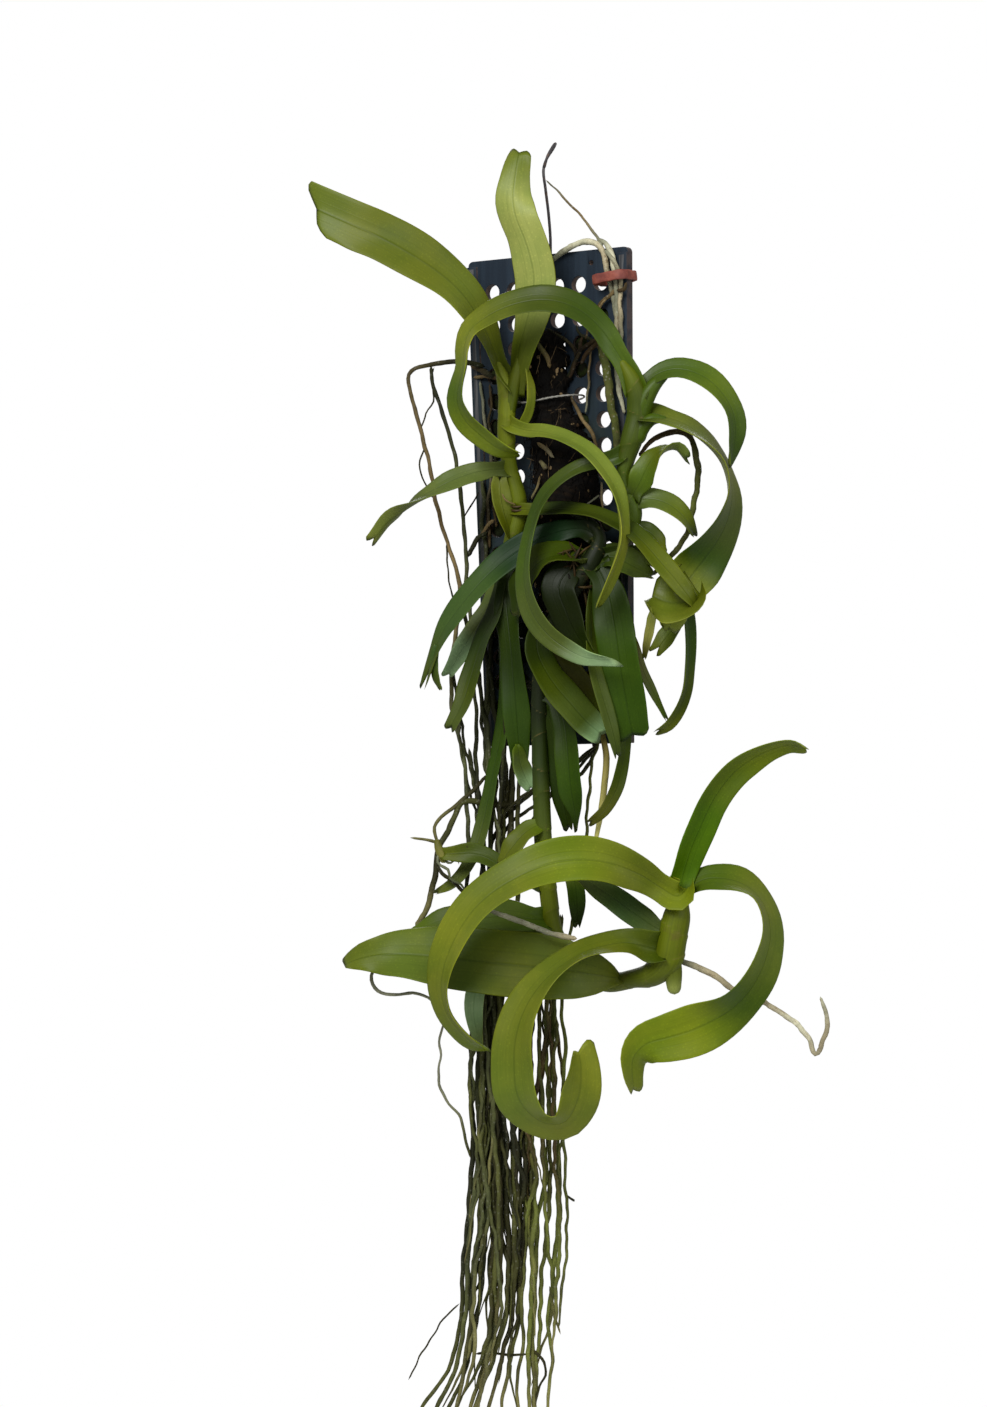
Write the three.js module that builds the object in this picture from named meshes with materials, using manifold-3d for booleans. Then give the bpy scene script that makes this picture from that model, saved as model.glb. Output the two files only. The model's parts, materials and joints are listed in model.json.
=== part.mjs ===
// An epiphytic orchid grown on a perforated plastic board that hangs from a wire hook.
// Millimetres, +Z up. The board's front faces -Y and the origin is the inner top of the hook.
//
// The plant's routes are lists of points chosen by hand on an upright sketch grid that faces
// the plant from its front left: across, up and depth towards the viewer. The grid's sight
// lines meet at one eye, so that every leaf keeps its outline from there.

import * as THREE from 'three';
import { mergeVertices } from 'three/addons/utils/BufferGeometryUtils.js';
import Module from 'manifold-3d';

const wasm = await Module();
wasm.setup();

// Sketch grid
const GRID_STEP = 0.75;                // mm for one step of the sketch grid
const EYE_ACROSS = -33.3;              // where the sight lines meet, in grid steps
const EYE_UP = -320;
const EYE_DISTANCE = 2300;
const GRID_TURN = THREE.MathUtils.degToRad(32.5);   // between the grid and the board
const HOOK_ACROSS = 2;                 // the origin on the grid
const HOOK_UP = -1.6;

// Gaps and blade sizes, mm
const GAP = 0.35;
const BLADE_MIDDLE = 1.7;
const BLADE_EDGE = 0.9;

// Board, mm
const BOARD = {
  width: 80.5, narrowing: 9, length: 210, thick: 4, corner: 2.5,
  axisX: -3.8, topZ: -46.5, frontY: -0.8, lean: THREE.MathUtils.degToRad(-1.5),
  beadWidth: 4.8, beadRise: 1.1,
  holeRadius: 3.5, columns: 6, columnPitch: 10.9, columnShift: -0.9,
  rows: 17, firstRow: 14.2, secondRow: 28.5, rowPitch: 11,
  screwHoleRadius: 1, screwHoleX: 22, screwHoleDown: 5.5,
};
const BOARD_BACK_Y = BOARD.frontY + BOARD.thick;

// Fibre pad, mm
const PAD = { depth: 6, rough: 1.1, across: 5, rows: 11 };
const PAD_BORDERS = [       // height, left border, right border, from the foot up
  [-216, 2, 12.5], [-205, -1.5, 16], [-186, -8, 19.5], [-168, -10, 22], [-153, -10, 23],
  [-141, -8, 22], [-130, -10, 19.5], [-119, -12, 13.5], [-111, -11, 9], [-100, -12, 7.5],
  [-89, -12, 6.5], [-79, -8, 2],
];

// Wire, band and strings, mm
const WIRE_RADIUS = 0.62;
const STRING_RADIUS = 0.4;
const BAND = {
  height: 4.2, thick: 1.3, frontReach: 6.6, backReach: 0.7, sideReach: 0.8,
  tilt: THREE.MathUtils.degToRad(-7),
};

// Section sides
const WIRE_SIDES = 5;
const STEM_SIDES = 8;
const ROOT_SIDES = 5;
const HANGING_ROOT_SIDES = 4;

const TOWARDS_EYE = new THREE.Vector3(Math.sin(GRID_TURN), -Math.cos(GRID_TURN), 0);

const part = new THREE.Group();

// Turns a point of the sketch grid into the part's frame.
function seen(across, up, depth) {
  const nearer = 1 - depth / EYE_DISTANCE;
  const right = EYE_ACROSS + (across - EYE_ACROSS) * nearer - HOOK_ACROSS;
  const height = EYE_UP + (up - EYE_UP) * nearer - HOOK_UP;
  const x = right * Math.cos(GRID_TURN) + depth * Math.sin(GRID_TURN);
  const y = right * Math.sin(GRID_TURN) - depth * Math.cos(GRID_TURN);
  return new THREE.Vector3(x, y, height).multiplyScalar(GRID_STEP);
}

function curveThrough(rows) {
  const points = rows.map(([across, up, depth]) => seen(across, up, depth));
  return new THREE.CatmullRomCurve3(points, false, 'centripetal');
}

// Reads column `index` of the rows at curve parameter u between 0 and 1.
function valueAlong(rows, index, u) {
  const place = u * (rows.length - 1);
  const before = Math.min(Math.floor(place), rows.length - 2);
  return THREE.MathUtils.lerp(rows[before][index], rows[before + 1][index], place - before);
}

// Closed bodies as manifold solids, for joining and cutting.
function solidOf(geometry) {
  const bare = geometry.clone();
  bare.deleteAttribute('uv');
  bare.deleteAttribute('normal');
  const merged = mergeVertices(bare, 1e-4);
  const mesh = new wasm.Mesh({
    numProp: 3,
    vertProperties: new Float32Array(merged.attributes.position.array),
    triVerts: new Uint32Array(merged.index.array),
  });
  return new wasm.Manifold(mesh);
}

function geometryOf(solid) {
  const mesh = solid.getMesh();
  const geometry = new THREE.BufferGeometry();
  geometry.setAttribute('position', new THREE.BufferAttribute(mesh.vertProperties, 3));
  geometry.setIndex(new THREE.BufferAttribute(mesh.triVerts, 1));
  geometry.computeVertexNormals();
  return geometry;
}

function join(geometries) {
  let whole = solidOf(geometries[0]);
  for (const geometry of geometries.slice(1)) whole = whole.add(solidOf(geometry));
  return geometryOf(whole);
}

function addMesh(name, geometry, look) {
  const material = new THREE.MeshStandardMaterial(look);
  const mesh = new THREE.Mesh(geometry, material);
  mesh.name = name;
  part.add(mesh);
}

function roundSection(radius, sides) {
  const corners = [];
  for (let i = 0; i < sides; i += 1) {
    const angle = (2 * Math.PI * i) / sides;
    corners.push(new THREE.Vector2(radius * Math.cos(angle), radius * Math.sin(angle)));
  }
  return new THREE.Shape(corners);
}

// A wire of one radius along a curve.
function wireAlong(curve, radius, steps) {
  const section = roundSection(radius, WIRE_SIDES);
  return new THREE.ExtrudeGeometry(section, { steps, extrudePath: curve, bevelEnabled: false });
}

// A stem or root: a straight prism of unit length, bent along its route and scaled to the
// radius of each row, [across, up, depth, radius].
function limb(rows, sides, detail) {
  const curve = curveThrough(rows);
  const steps = Math.max(2, Math.round((rows.length - 1) * detail));
  const frames = curve.computeFrenetFrames(steps, false);
  const section = roundSection(1, sides);
  const geometry = new THREE.ExtrudeGeometry(section, { steps, depth: 1, bevelEnabled: false });
  const place = geometry.attributes.position;
  for (let i = 0; i < place.count; i += 1) {
    const station = Math.round(place.getZ(i) * steps);
    const u = curve.getUtoTmapping(station / steps);
    const radius = valueAlong(rows, 3, u) * GRID_STEP;
    const point = curve.getPoint(u)
      .addScaledVector(frames.normals[station], place.getX(i) * radius)
      .addScaledVector(frames.binormals[station], place.getY(i) * radius);
    place.setXYZ(i, point.x, point.y, point.z);
  }
  return geometry;
}

// Half width of a strap leaf along its length, as a share of the full half width.
function strapOutline(t) {
  const { smoothstep } = THREE.MathUtils;
  return 0.42 + 0.58 * smoothstep(t, 0, 0.3) - 0.38 * smoothstep(t, 0.72, 1);
}

// A strap leaf: a thin box bent along its spine. Each row is [across, up, depth, seen width];
// how far the blade is turned from the viewer follows from the width that shows. `side` is 1
// when the turned blade's upper face looks to the left of its route's reverse, else -1.
function leaf(rows, { width, side = 1, fold = 16, lobes = [5, 2], blade = 1 }) {
  const curve = curveThrough(rows);
  const steps = Math.round(rows.length * 0.9);
  const tanFold = Math.tan(THREE.MathUtils.degToRad(fold));
  const geometry = new THREE.BoxGeometry(1, 1, 1, 2, 1, steps);
  const place = geometry.attributes.position;
  for (let i = 0; i < place.count; i += 1) {
    const t = place.getZ(i) + 0.5;
    const u = curve.getUtoTmapping(t);
    const fullWidth = width * strapOutline(t);
    const share = THREE.MathUtils.clamp(valueAlong(rows, 3, u) / fullWidth, -1, 1);
    const roll = side * Math.acos(share);
    const along = curve.getTangent(u).normalize();
    const facing = TOWARDS_EYE.clone().addScaledVector(along, -TOWARDS_EYE.dot(along)).normalize();
    const sideways = along.clone().cross(facing);
    const normal = facing.multiplyScalar(Math.cos(roll)).addScaledVector(sideways, Math.sin(roll));
    const across = normal.clone().cross(along);
    const offset = place.getX(i) * 2;
    const half = (fullWidth * GRID_STEP) / 2;
    const thick = THREE.MathUtils.lerp(BLADE_MIDDLE, BLADE_EDGE, Math.abs(offset)) * blade;
    const rise = Math.abs(offset) * half * tanFold + place.getY(i) * thick;
    const lobe = t > 0.999 ? (offset > 0 ? lobes[0] : lobes[1]) * Math.abs(offset) : 0;
    const point = curve.getPoint(u)
      .addScaledVector(across, offset * half)
      .addScaledVector(normal, rise)
      .addScaledVector(along, lobe * GRID_STEP);
    place.setXYZ(i, point.x, point.y, point.z);
  }
  return geometry;
}

// Left leafy stem
const LEFT_STEM = [
  [-21, -137, 6, 3.5], [-25, -150, 5, 5.4], [-26, -168, 4, 5.2], [-24, -185, 2, 4.4],
  [-20, -200, 2, 5], [-19, -212, 1, 5.4], [-22, -225, 0, 5.2], [-26, -242, -2, 4.4],
];
const LEFT_SHEATH = [
  [-26, -188, 1, 3], [-29, -199, 0, 4.8], [-28, -211, 0, 5.2], [-24, -223, 0, 4.6],
];
const LEFT_LEAVES = [
  { width: 30, side: 1, fold: 12, lobes: [2, 12], rows: [
    [-22, -143, 4, 7], [-29, -132, 5, 9], [-34, -120, 7, 11], [-39, -108, 9, 14],
    [-45, -97, 11, 18], [-52, -87, 13, 22], [-61, -78, 14, 25], [-73, -69, 15, 27],
    [-86, -61, 15, 28], [-101, -53, 14, 28.5], [-118, -44, 12, 27], [-133, -37, 9, 20]] },
  { width: 24, side: 1, fold: 10, lobes: [3, 6], rows: [
    [-21, -145, 6, -8], [-20, -132, 9, -9], [-18, -118, 14, -13], [-14, -103, 18, -19],
    [-11, -90, 22, -22], [-10, -78, 24, -23], [-12, -66, 26, -23], [-16, -53, 27, -21],
    [-20, -43, 27, -20], [-22, -33, 26, -21], [-21, -20, 24, -19], [-19, -8, 21, -13]] },
  { width: 6, side: 1, lobes: [1, 0], rows: [
    [-22, -165, 6, 3], [-16, -159, 9, 5], [-12.5, -149, 12, 5], [-12.5, -139, 13, 4.5],
    [-14.5, -129, 13, 2]] },
  { width: 13, side: -1, fold: 22, lobes: [0, 1], rows: [
    [-25, -161, 6, 5], [-16, -164, 14, 8], [-4, -166, 28, 8.5], [8, -170, 42, 9],
    [20, -177, 54, 9.5], [29, -187, 62, 9], [36, -199, 66, 8], [39, -212, 68, 6],
    [39.5, -226, 68, 5.5], [36, -240, 67, 5.5], [31, -253, 65, 5], [25, -265, 62, 2]] },
  { width: 14, side: 1, fold: 14, lobes: [4, 6], rows: [
    [-24, -186, 3, 6], [-36, -187, 5, 10], [-48, -190, 7, 12], [-58, -194, 9, 11.5],
    [-67, -199, 10, 9], [-75, -203.5, 11, 5], [-80, -206.5, 11, 1], [-87, -211, 10, -6.5],
    [-94, -216, 9, -10], [-101, -225, 7, -9]] },
  { width: 14, side: -1, fold: 18, lobes: [1, 2], rows: [
    [-22, -209, 3, 6], [-12, -210, 12, 7], [0, -210, 22, 7.5], [12, -210.5, 33, 8],
    [24, -212.5, 44, 8], [35, -217, 53, 8], [45, -222.5, 60, 9.5], [53, -230, 64, 11],
    [61, -239, 66, 12], [69, -248, 67, 11], [76, -257, 67, 9], [82, -266, 65, 3]] },
  { width: 16, side: 1, fold: 14, lobes: [3, 2], rows: [
    [-25, -236, 0, 6], [-26, -250, 4, 12], [-25.5, -263, 8, 14], [-24, -276, 10, 13],
    [-22.5, -290, 12, 11.5], [-21.5, -304, 12, 13], [-20.5, -318, 11, 15.5],
    [-19.5, -333, 9, 16], [-18.5, -347, 6, 13], [-18, -357, 4, 7]] },
  { width: 14, side: 1, fold: 20, lobes: [3, 3], rows: [
    [-27, -239, -2, 5], [-29, -256, 2, 7], [-32, -270, 6, 8], [-38, -282, 9, 9],
    [-42, -294, 11, 9.5], [-46, -307, 12, 10], [-50, -319, 12, 10], [-57, -333, 11, 7]] },
  { width: 13, side: 1, lobes: [2, 5], rows: [
    [-27, -240, -3, 4], [-31, -255, -5, 8], [-36, -267, -5, 10], [-44, -279, -4, 11],
    [-51, -290, -4, 11], [-58, -302, -5, 7]] },
  { width: 11, side: 1, lobes: [0, 2], rows: [
    [-26, -240, -3, 4], [-27, -262, -4, 6], [-26, -285, -5, 6], [-25.5, -305, -6, 7],
    [-26.5, -325, -6, 7], [-29, -342, -5, 7], [-32.5, -358, -4, 7], [-35.5, -374, -3, 7.5],
    [-39, -390, -2, 8], [-43.5, -404, -1, 8], [-50, -416, 0, 7], [-58, -424, 0, 6],
    [-66, -428.5, 0, 2]] },
  { width: 12, side: -1, lobes: [3, 1], rows: [
    [-20, -343, 7, 5], [-18, -355, 4, 10], [-14, -363, 3, 10], [-11, -369, 3, 5]] },
];

// Right leafy stem
const RIGHT_STEM = [
  [52, -134, 46, 4], [50, -145, 46, 7], [49.5, -155, 46, 6.8], [46, -168, 46, 6.4],
  [42.5, -180, 45, 5.2], [41, -190, 45, 4.2], [42, -200, 45, 4.4], [46, -210, 45, 5.4],
  [45, -218, 44, 5], [41.2, -229, 44, 3.4],
];
const RIGHT_LEAVES = [
  { width: 19, side: 1, fold: 16, lobes: [1, 2], rows: [
    [48, -143, 46, 8], [44, -132, 48, 12], [37, -120, 50, 13.5], [28, -107, 52, 14],
    [18, -98, 52, 15], [7, -92.5, 52, 15.5], [-5, -90.5, 51, 16], [-17, -92, 48, 15.5],
    [-28, -95.5, 45, 15], [-38, -101, 42, 14], [-46, -108, 40, 10], [-49, -118, 38, 7],
    [-49.5, -128, 37, 4.5], [-52, -138, 36, 7], [-53, -148, 34, 10], [-49, -158, 32, 11.5],
    [-40, -167, 29, 11], [-30, -174, 26, 8.5], [-19, -177, 24, 2]] },
  { width: 16, side: -1, fold: 18, lobes: [1, 0], rows: [
    [51, -145, 47, 6], [55, -137, 48, 7], [62, -132, 50, 10], [71, -130, 53, 12.5],
    [80, -131.5, 55, 13], [89, -136, 56, 13], [97, -144, 57, 12.5], [102.5, -154, 57, 11],
    [104, -164, 56, 9.5], [103, -173, 55, 8], [100.5, -185, 54, 1.5]] },
  { width: 29, side: -1, fold: 10, lobes: [4, 3], rows: [
    [50, -158, 46, 6], [58, -157, 48, 8], [67, -158.5, 50, 9.5], [76, -162, 52, 10],
    [84, -167.5, 53, 9.5], [91, -174, 54, 8], [97, -182, 54, 5], [100.5, -192, 54, 5],
    [101.5, -203, 53, 8.5], [99, -215, 52, 14], [94, -226, 51, 20], [87, -237, 50, 25],
    [79, -248, 50, 28], [71, -259, 52, 27], [68, -268, 54, 22], [67, -276, 54, 10]] },
  { width: 14, side: -1, fold: 18, lobes: [1, 0], rows: [
    [43, -207, 46, 7], [52, -204, 48, 11], [60, -204.5, 50, 12], [68, -208, 51, 11],
    [75, -214.5, 51, 9.5], [81, -225, 50, 3]] },
  { width: 15, side: -1, fold: 16, lobes: [6, 1], rows: [
    [45, -203, 47, 8], [50, -194, 50, 14], [54, -187, 52, 13.5], [59, -180, 54, 9],
    [65.5, -175, 55, 2.5], [71, -174.5, 55, -4.5], [76, -179, 55, -5]] },
  { width: 14, side: 1, fold: 18, lobes: [1, 8], rows: [
    [42, -178, 46, 5], [34, -180.5, 46, 7], [25, -182.5, 45, 8], [15, -186, 44, 8],
    [6, -192, 42, 7.5], [-1, -199, 40, 7], [-6.5, -208, 38, 5.5], [-10, -218, 38, 5],
    [-13, -230, 40, 6.5], [-15, -243, 44, 8], [-14.5, -255, 49, 9], [-11, -267, 54, 10.5],
    [-4, -278, 59, 11], [6, -287, 63, 11], [17, -293, 66, 9.5], [30, -294.5, 68, 5]] },
  { width: 11, side: -1, lobes: [1, 1], rows: [
    [44, -220, 45, 5], [52, -221, 47, 9], [58, -225, 48, 10], [63, -234, 48, 5]] },
];

// Long hanging stem, from the crown to the growing shoot at its upturned end
const LONG_STEM = [
  [11, -210, 22.6, 2.8], [18, -214, 30, 3], [27, -224, 37, 3.5], [24, -236, 40, 5.5], [14, -252, 38, 5], [2, -272, 32, 4.8],
  [-5, -295, 27, 4.8], [-7, -318, 24, 4.8], [-7, -345, 22, 4.6], [-6, -370, 22, 5],
  [-5, -398, 22, 5.2], [-2, -428, 22, 5.2], [2, -452, 22, 5], [14, -470, 24, 5],
  [30, -479, 28, 4.6], [46, -477, 38, 3.8], [58, -474, 46, 5], [66, -466, 51, 6.4],
  [69, -453, 53, 7.2], [72, -440, 54, 6.6], [75, -426, 54, 4.6],
];
const LONG_STEM_STUB = [[69, -462, 50, 4.6], [70, -474, 50, 4.8], [70.5, -485, 49, 3.4]];
const OLD_SHOOT_STUB = [[-66, -397, 7, 1.6], [-64, -404, 8, 2.6], [-61, -411, 8, 2]];
const LONG_STEM_LEAVES = [
  { width: 20, side: 1, fold: 12, lobes: [2, 2], rows: [
    [20, -238, 38, 8], [9, -245, 40, 16], [4, -254, 42, 19], [8, -266, 43, 18],
    [14, -279, 44, 13], [22, -290, 44, 5]] },
  { width: 17, side: 1, fold: 14, lobes: [13, 15], rows: [
    [26, -225, 37, 8], [18, -220.5, 32, 11], [7, -221.5, 27, 12], [-5, -226, 23, 14.5],
    [-16, -231.5, 21, 16], [-27, -239, 20, 15], [-37, -248, 20, 14], [-46, -258, 19, 13],
    [-54, -268.5, 17, 11.5], [-61, -279, 15, 9], [-66, -290, 12, 6], [-69, -299, 10, 4]] },
  { width: 18, side: -1, fold: 22, lobes: [1, 1], rows: [
    [25, -238, 39, 9], [33, -237, 41, 13], [42, -240, 42, 16], [50, -244.5, 42, 13],
    [57, -248, 41, 4]] },
  { width: 23, side: 1, fold: 10, lobes: [2, 4], rows: [
    [25, -240, 41, 10], [30, -250, 45, 16], [33.5, -262, 48, 20], [36, -276, 50, 22],
    [38, -290, 51, 22], [40, -304, 51, 22], [42.5, -318, 50, 22], [44.5, -330, 49, 20],
    [46, -337, 48, 13]] },
  { width: 20, side: -1, fold: 12, lobes: [4, 3], rows: [
    [-3, -270, 32, 8], [-9, -281, 34, 12], [-9, -291, 36, 14], [-4, -302, 38, 16],
    [3, -312, 40, 17], [11, -321, 41, 18], [19, -330, 41, 17], [27, -337, 41, 12]] },
  { width: 10, side: -1, lobes: [1, 1], rows: [
    [26, -246, 38, 5], [22, -266, 42, 6], [22, -283, 44, 7], [24.5, -298, 45, 7.5],
    [28, -312, 45, 7], [32, -325, 45, 7], [35.5, -337, 44, 6.5], [37, -350, 43, 4]] },
  { width: 12, side: -1, fold: 20, lobes: [1, 1], rows: [
    [28, -236, 40, 5], [38, -233.5, 39, 8], [48, -234, 37, 9], [58, -238.5, 36, 9],
    [67, -246, 36, 9], [73, -257, 37, 8], [76.5, -270, 38, 7], [77.5, -285, 39, 6],
    [77, -300, 39, 6], [75.5, -313, 38, 6], [71, -325, 37, 6], [66, -332, 36, 6],
    [59, -336, 35, 3]] },
  { width: 12, side: 1, lobes: [3, 4], rows: [
    [75, -262, 37, 5], [71, -274, 34, 9], [66, -282, 33, 10], [60, -289, 33, 8]] },
  { width: 6, side: -1, lobes: [1, 1], rows: [
    [28, -250, 40, 3], [38, -268, 42, 4], [46, -285, 43, 5], [51, -300, 43, 5.5],
    [57, -313, 42, 5], [65, -329, 41, 2]] },
  { width: 15, side: 1, fold: 20, lobes: [1, 3], rows: [
    [-6, -312, 24, 6], [2, -318, 29, 9], [7, -328, 33, 12], [9, -342, 35, 13],
    [10, -356, 36, 13.5], [11.5, -370, 36, 13], [13, -380, 35, 11], [14, -390, 34, 6]] },
  { width: 9, side: -1, lobes: [1, 1], rows: [
    [26, -248, 38, 4], [34, -270, 40, 5], [39, -290, 42, 6], [41, -310, 42, 6],
    [41.5, -330, 42, 6.5], [41, -345, 42, 6.5], [39, -358, 42, 7], [36, -370, 42, 7.5],
    [30, -381, 42, 7.5], [21, -388, 42, 4]] },
  { width: 13, side: 1, lobes: [1, 2], rows: [
    [-4, -388, 23, 6], [-10, -391, 26, 9], [-16, -395, 28, 10], [-22, -402, 29, 11],
    [-28, -411, 29, 5]] },
  { width: 12, side: 1, fold: 20, lobes: [1, 1], rows: [
    [-5, -424, 22, 6], [-18, -420, 20, 8], [-30, -413, 16, 8], [-38, -408, 13, 10],
    [-46, -405.5, 11, 11.5], [-54, -405.5, 10, 11], [-63, -406, 9, 7]] },
  { width: 10, side: 1, fold: 20, lobes: [1, 1], rows: [
    [-3, -400, 24, 4], [6, -404, 30, 7], [11, -413, 33, 9], [13.5, -424, 34, 10],
    [14.5, -436, 34, 9.5], [15, -447, 34, 4]] },
  { width: 11, side: 1, lobes: [1, 2], rows: [
    [0, -448, 22, 4], [-14, -452, 18, 8], [-28, -460, 14, 10], [-38, -470, 12, 11],
    [-43, -482, 11, 11], [-44.5, -495, 10, 10.5], [-43, -506, 10, 8], [-40, -515, 10, 3]] },
  { width: 13, side: 1, lobes: [1, 2], rows: [
    [-5, -322, 24, 5], [1, -332, 24, 10], [3.5, -346, 23, 11], [5, -360, 22, 12],
    [7, -376, 21, 11], [10, -391, 20, 5]] },
  { width: 19, side: 1, fold: 20, lobes: [1, 2], rows: [
    [73, -432, 55, 9], [74, -419, 57, 14], [78, -404, 60, 15.5], [84, -390, 62, 16.5],
    [90, -377, 63, 17], [97, -366, 63, 16.5], [105, -357, 62, 15], [115, -350, 61, 13],
    [126, -345, 60, 10.5], [137, -343, 58, 8], [145, -345.5, 57, 3]] },
  { width: 26, side: 1, fold: 18, lobes: [1, 1], rows: [
    [72, -432, 55, 10], [62, -425, 62, 19], [51, -418, 68, 21], [40, -413.5, 72, 22],
    [28, -410.5, 74, 23], [15, -409.5, 75, 24], [2, -411, 75, 24], [-10, -415, 75, 22.5],
    [-22, -421, 75, 21], [-33, -428, 74, 19.5], [-43, -437, 73, 18], [-51, -448, 72, 16.5],
    [-57, -460, 70, 15.5], [-61, -472, 68, 14], [-62, -484, 64, 12], [-59, -496, 60, 9.5],
    [-52, -506, 56, 8], [-44, -513, 52, 7], [-36, -516.5, 50, 2]] },
  { width: 29, side: -1, fold: 12, lobes: [7, 2], rows: [
    [77, -427, 55, 8], [87, -421, 58, 13], [97, -420.5, 61, 14.5], [107, -423, 64, 13],
    [115.5, -429, 66, 8], [121.5, -439, 68, 12], [123.5, -451, 69, 15],
    [121.5, -463, 70, 16.5], [117, -475, 70, 18], [110, -485.5, 70, 20],
    [101, -494.5, 69, 24], [90, -501.5, 68, 28], [78, -507, 67, 29.5], [66, -510.5, 66, 30],
    [54, -514, 65, 27], [46, -522, 63, 16], [45, -531, 61, 12], [46, -538, 59, 8]] },
  { width: 27, side: 1, fold: 16, lobes: [3, 6], rows: [
    [64, -462, 52, 9], [54, -459, 54, 12.5], [42, -457, 58, 12.5], [30, -459, 62, 11],
    [18, -463, 66, 10.5], [7, -469.5, 70, 10.5], [-3, -478, 73, 12], [-11, -488, 75, 15],
    [-17, -500, 76, 18], [-20.5, -514, 76, 22], [-21, -528, 75, 24], [-19.5, -542, 73, 24],
    [-14, -554, 70, 20], [-4, -562, 68, 14], [7, -561, 68, 16], [14, -553, 70, 21],
    [17, -541, 73, 22], [17.5, -529, 76, 17], [16.5, -519, 79, 10]] },
  { width: 38, side: 1, fold: 10, lobes: [3, 9], rows: [
    [42, -478, 34, 8], [31, -475.5, 42, 22], [18, -473.5, 46, 29], [4, -472, 48, 33],
    [-10, -470.5, 49, 36], [-25, -469, 49, 37], [-42, -467.5, 48, 35.5],
    [-58, -466, 46, 33], [-74, -464.5, 43, 29.5], [-90, -463.5, 40, 25],
    [-104, -464.5, 37, 18], [-112, -467, 34, 11]] },
  { width: 22, side: 1, fold: 14, lobes: [1, 2], rows: [
    [-3, -444, 22, 8], [-14, -443, 28, 14], [-28, -442, 31, 18], [-42, -443, 32, 19],
    [-56, -446, 31, 18], [-68, -449, 30, 14], [-81, -453, 28, 5]] },
  { width: 15, side: 1, fold: 14, lobes: [1, 1], rows: [
    [67, -451, 52, 8], [58, -447, 50, 12], [48, -441, 50, 14], [37, -433, 50, 14],
    [26, -426, 50, 12], [14, -418, 50, 5]] },
];

// Aerial roots. Each row is [across, up, depth, radius].
const UPPER_ROOTS = [
  [[0, -67.5, 3.5, 1.5], [6, -62.5, 7, 1.6], [13, -58.5, 12, 1.7], [20, -56.5, 16, 1.7],
    [26, -58.5, 20, 1.7], [30, -66, 22, 1.7], [32, -76, 23.5, 1.6], [33.5, -88, 25, 1.6],
    [34.5, -101, 26, 1.6], [35.5, -115, 27, 1.7], [34, -132, 26, 1.9], [35, -150, 27, 1.8],
    [37, -176, 29, 1.6]],
  [[26, -55, 18, 1], [31, -58, 22, 1.5], [34.5, -65, 25, 1.6], [36, -75, 27, 1.6],
    [36.8, -88, 28, 1.6], [37, -103, 28.5, 1.5], [36.8, -118, 28.5, 1.5],
    [37, -132, 29, 1.5], [39, -144, 29, 1.4], [41.5, -155, 30, 0.9]],
  [[-0.5, -24.5, 3, 0.55], [8, -33, 7, 0.6], [18, -43, 12, 0.7], [25, -54, 18, 0.9],
    [29, -60, 20.5, 1.1]],
  [[38, -80, 27.5, 1.2], [35, -86, 26, 1.2], [29, -91, 21.5, 1], [25, -97, 18.5, 0.7]],
  [[36, -116, 27, 1.2], [29, -113, 21.5, 1.1], [24, -115, 18.5, 0.8], [21.3, -125, 16.5, 0.7],
    [21, -140, 16.3, 0.7], [19, -155, 15, 0.6]],
];
const RIGHT_LOOP_ROOT = [
  [[49.6, -179, 42.5, 1.1], [57, -170, 38, 1.4], [65, -166, 36, 1.7], [73, -165, 36, 1.8],
    [79.5, -168, 36, 1.8], [82, -176, 36, 1.8], [83, -188, 36, 1.8], [82, -200, 35, 1.7],
    [80, -212, 34, 1.6], [77, -223, 33, 1.6], [72, -231, 30, 1.6], [65, -239, 26, 1.5],
    [57, -247, 25, 1.2]],
];
const FRONT_RIGHT_ROOT = [
  [[74.3, -467.3, 46.8, 1.2], [81, -469.5, 46, 1.8], [88, -473, 47, 1.9], [94, -476, 50, 1.8],
    [100, -480.5, 53, 1.7], [108, -485, 55, 1.6], [118, -489, 56, 1.6], [128, -495, 57, 1.6],
    [139, -502, 58, 1.5], [146, -510, 59, 1.5], [150.5, -520, 60, 1.4],
    [154.5, -512, 62, 1.4], [157, -502, 63, 1.4], [155.5, -494, 64, 1.2],
    [153, -487, 65, 0.8]],
];
const FRONT_LEFT_ROOT = [
  [[-37, -437.5, 50, 1], [-26, -441.5, 53, 1.4], [-14, -446, 55, 1.5], [-2, -450.5, 56, 1.6],
    [8, -453, 56, 1.6], [14.5, -454.2, 55, 1.2]],
];
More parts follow.
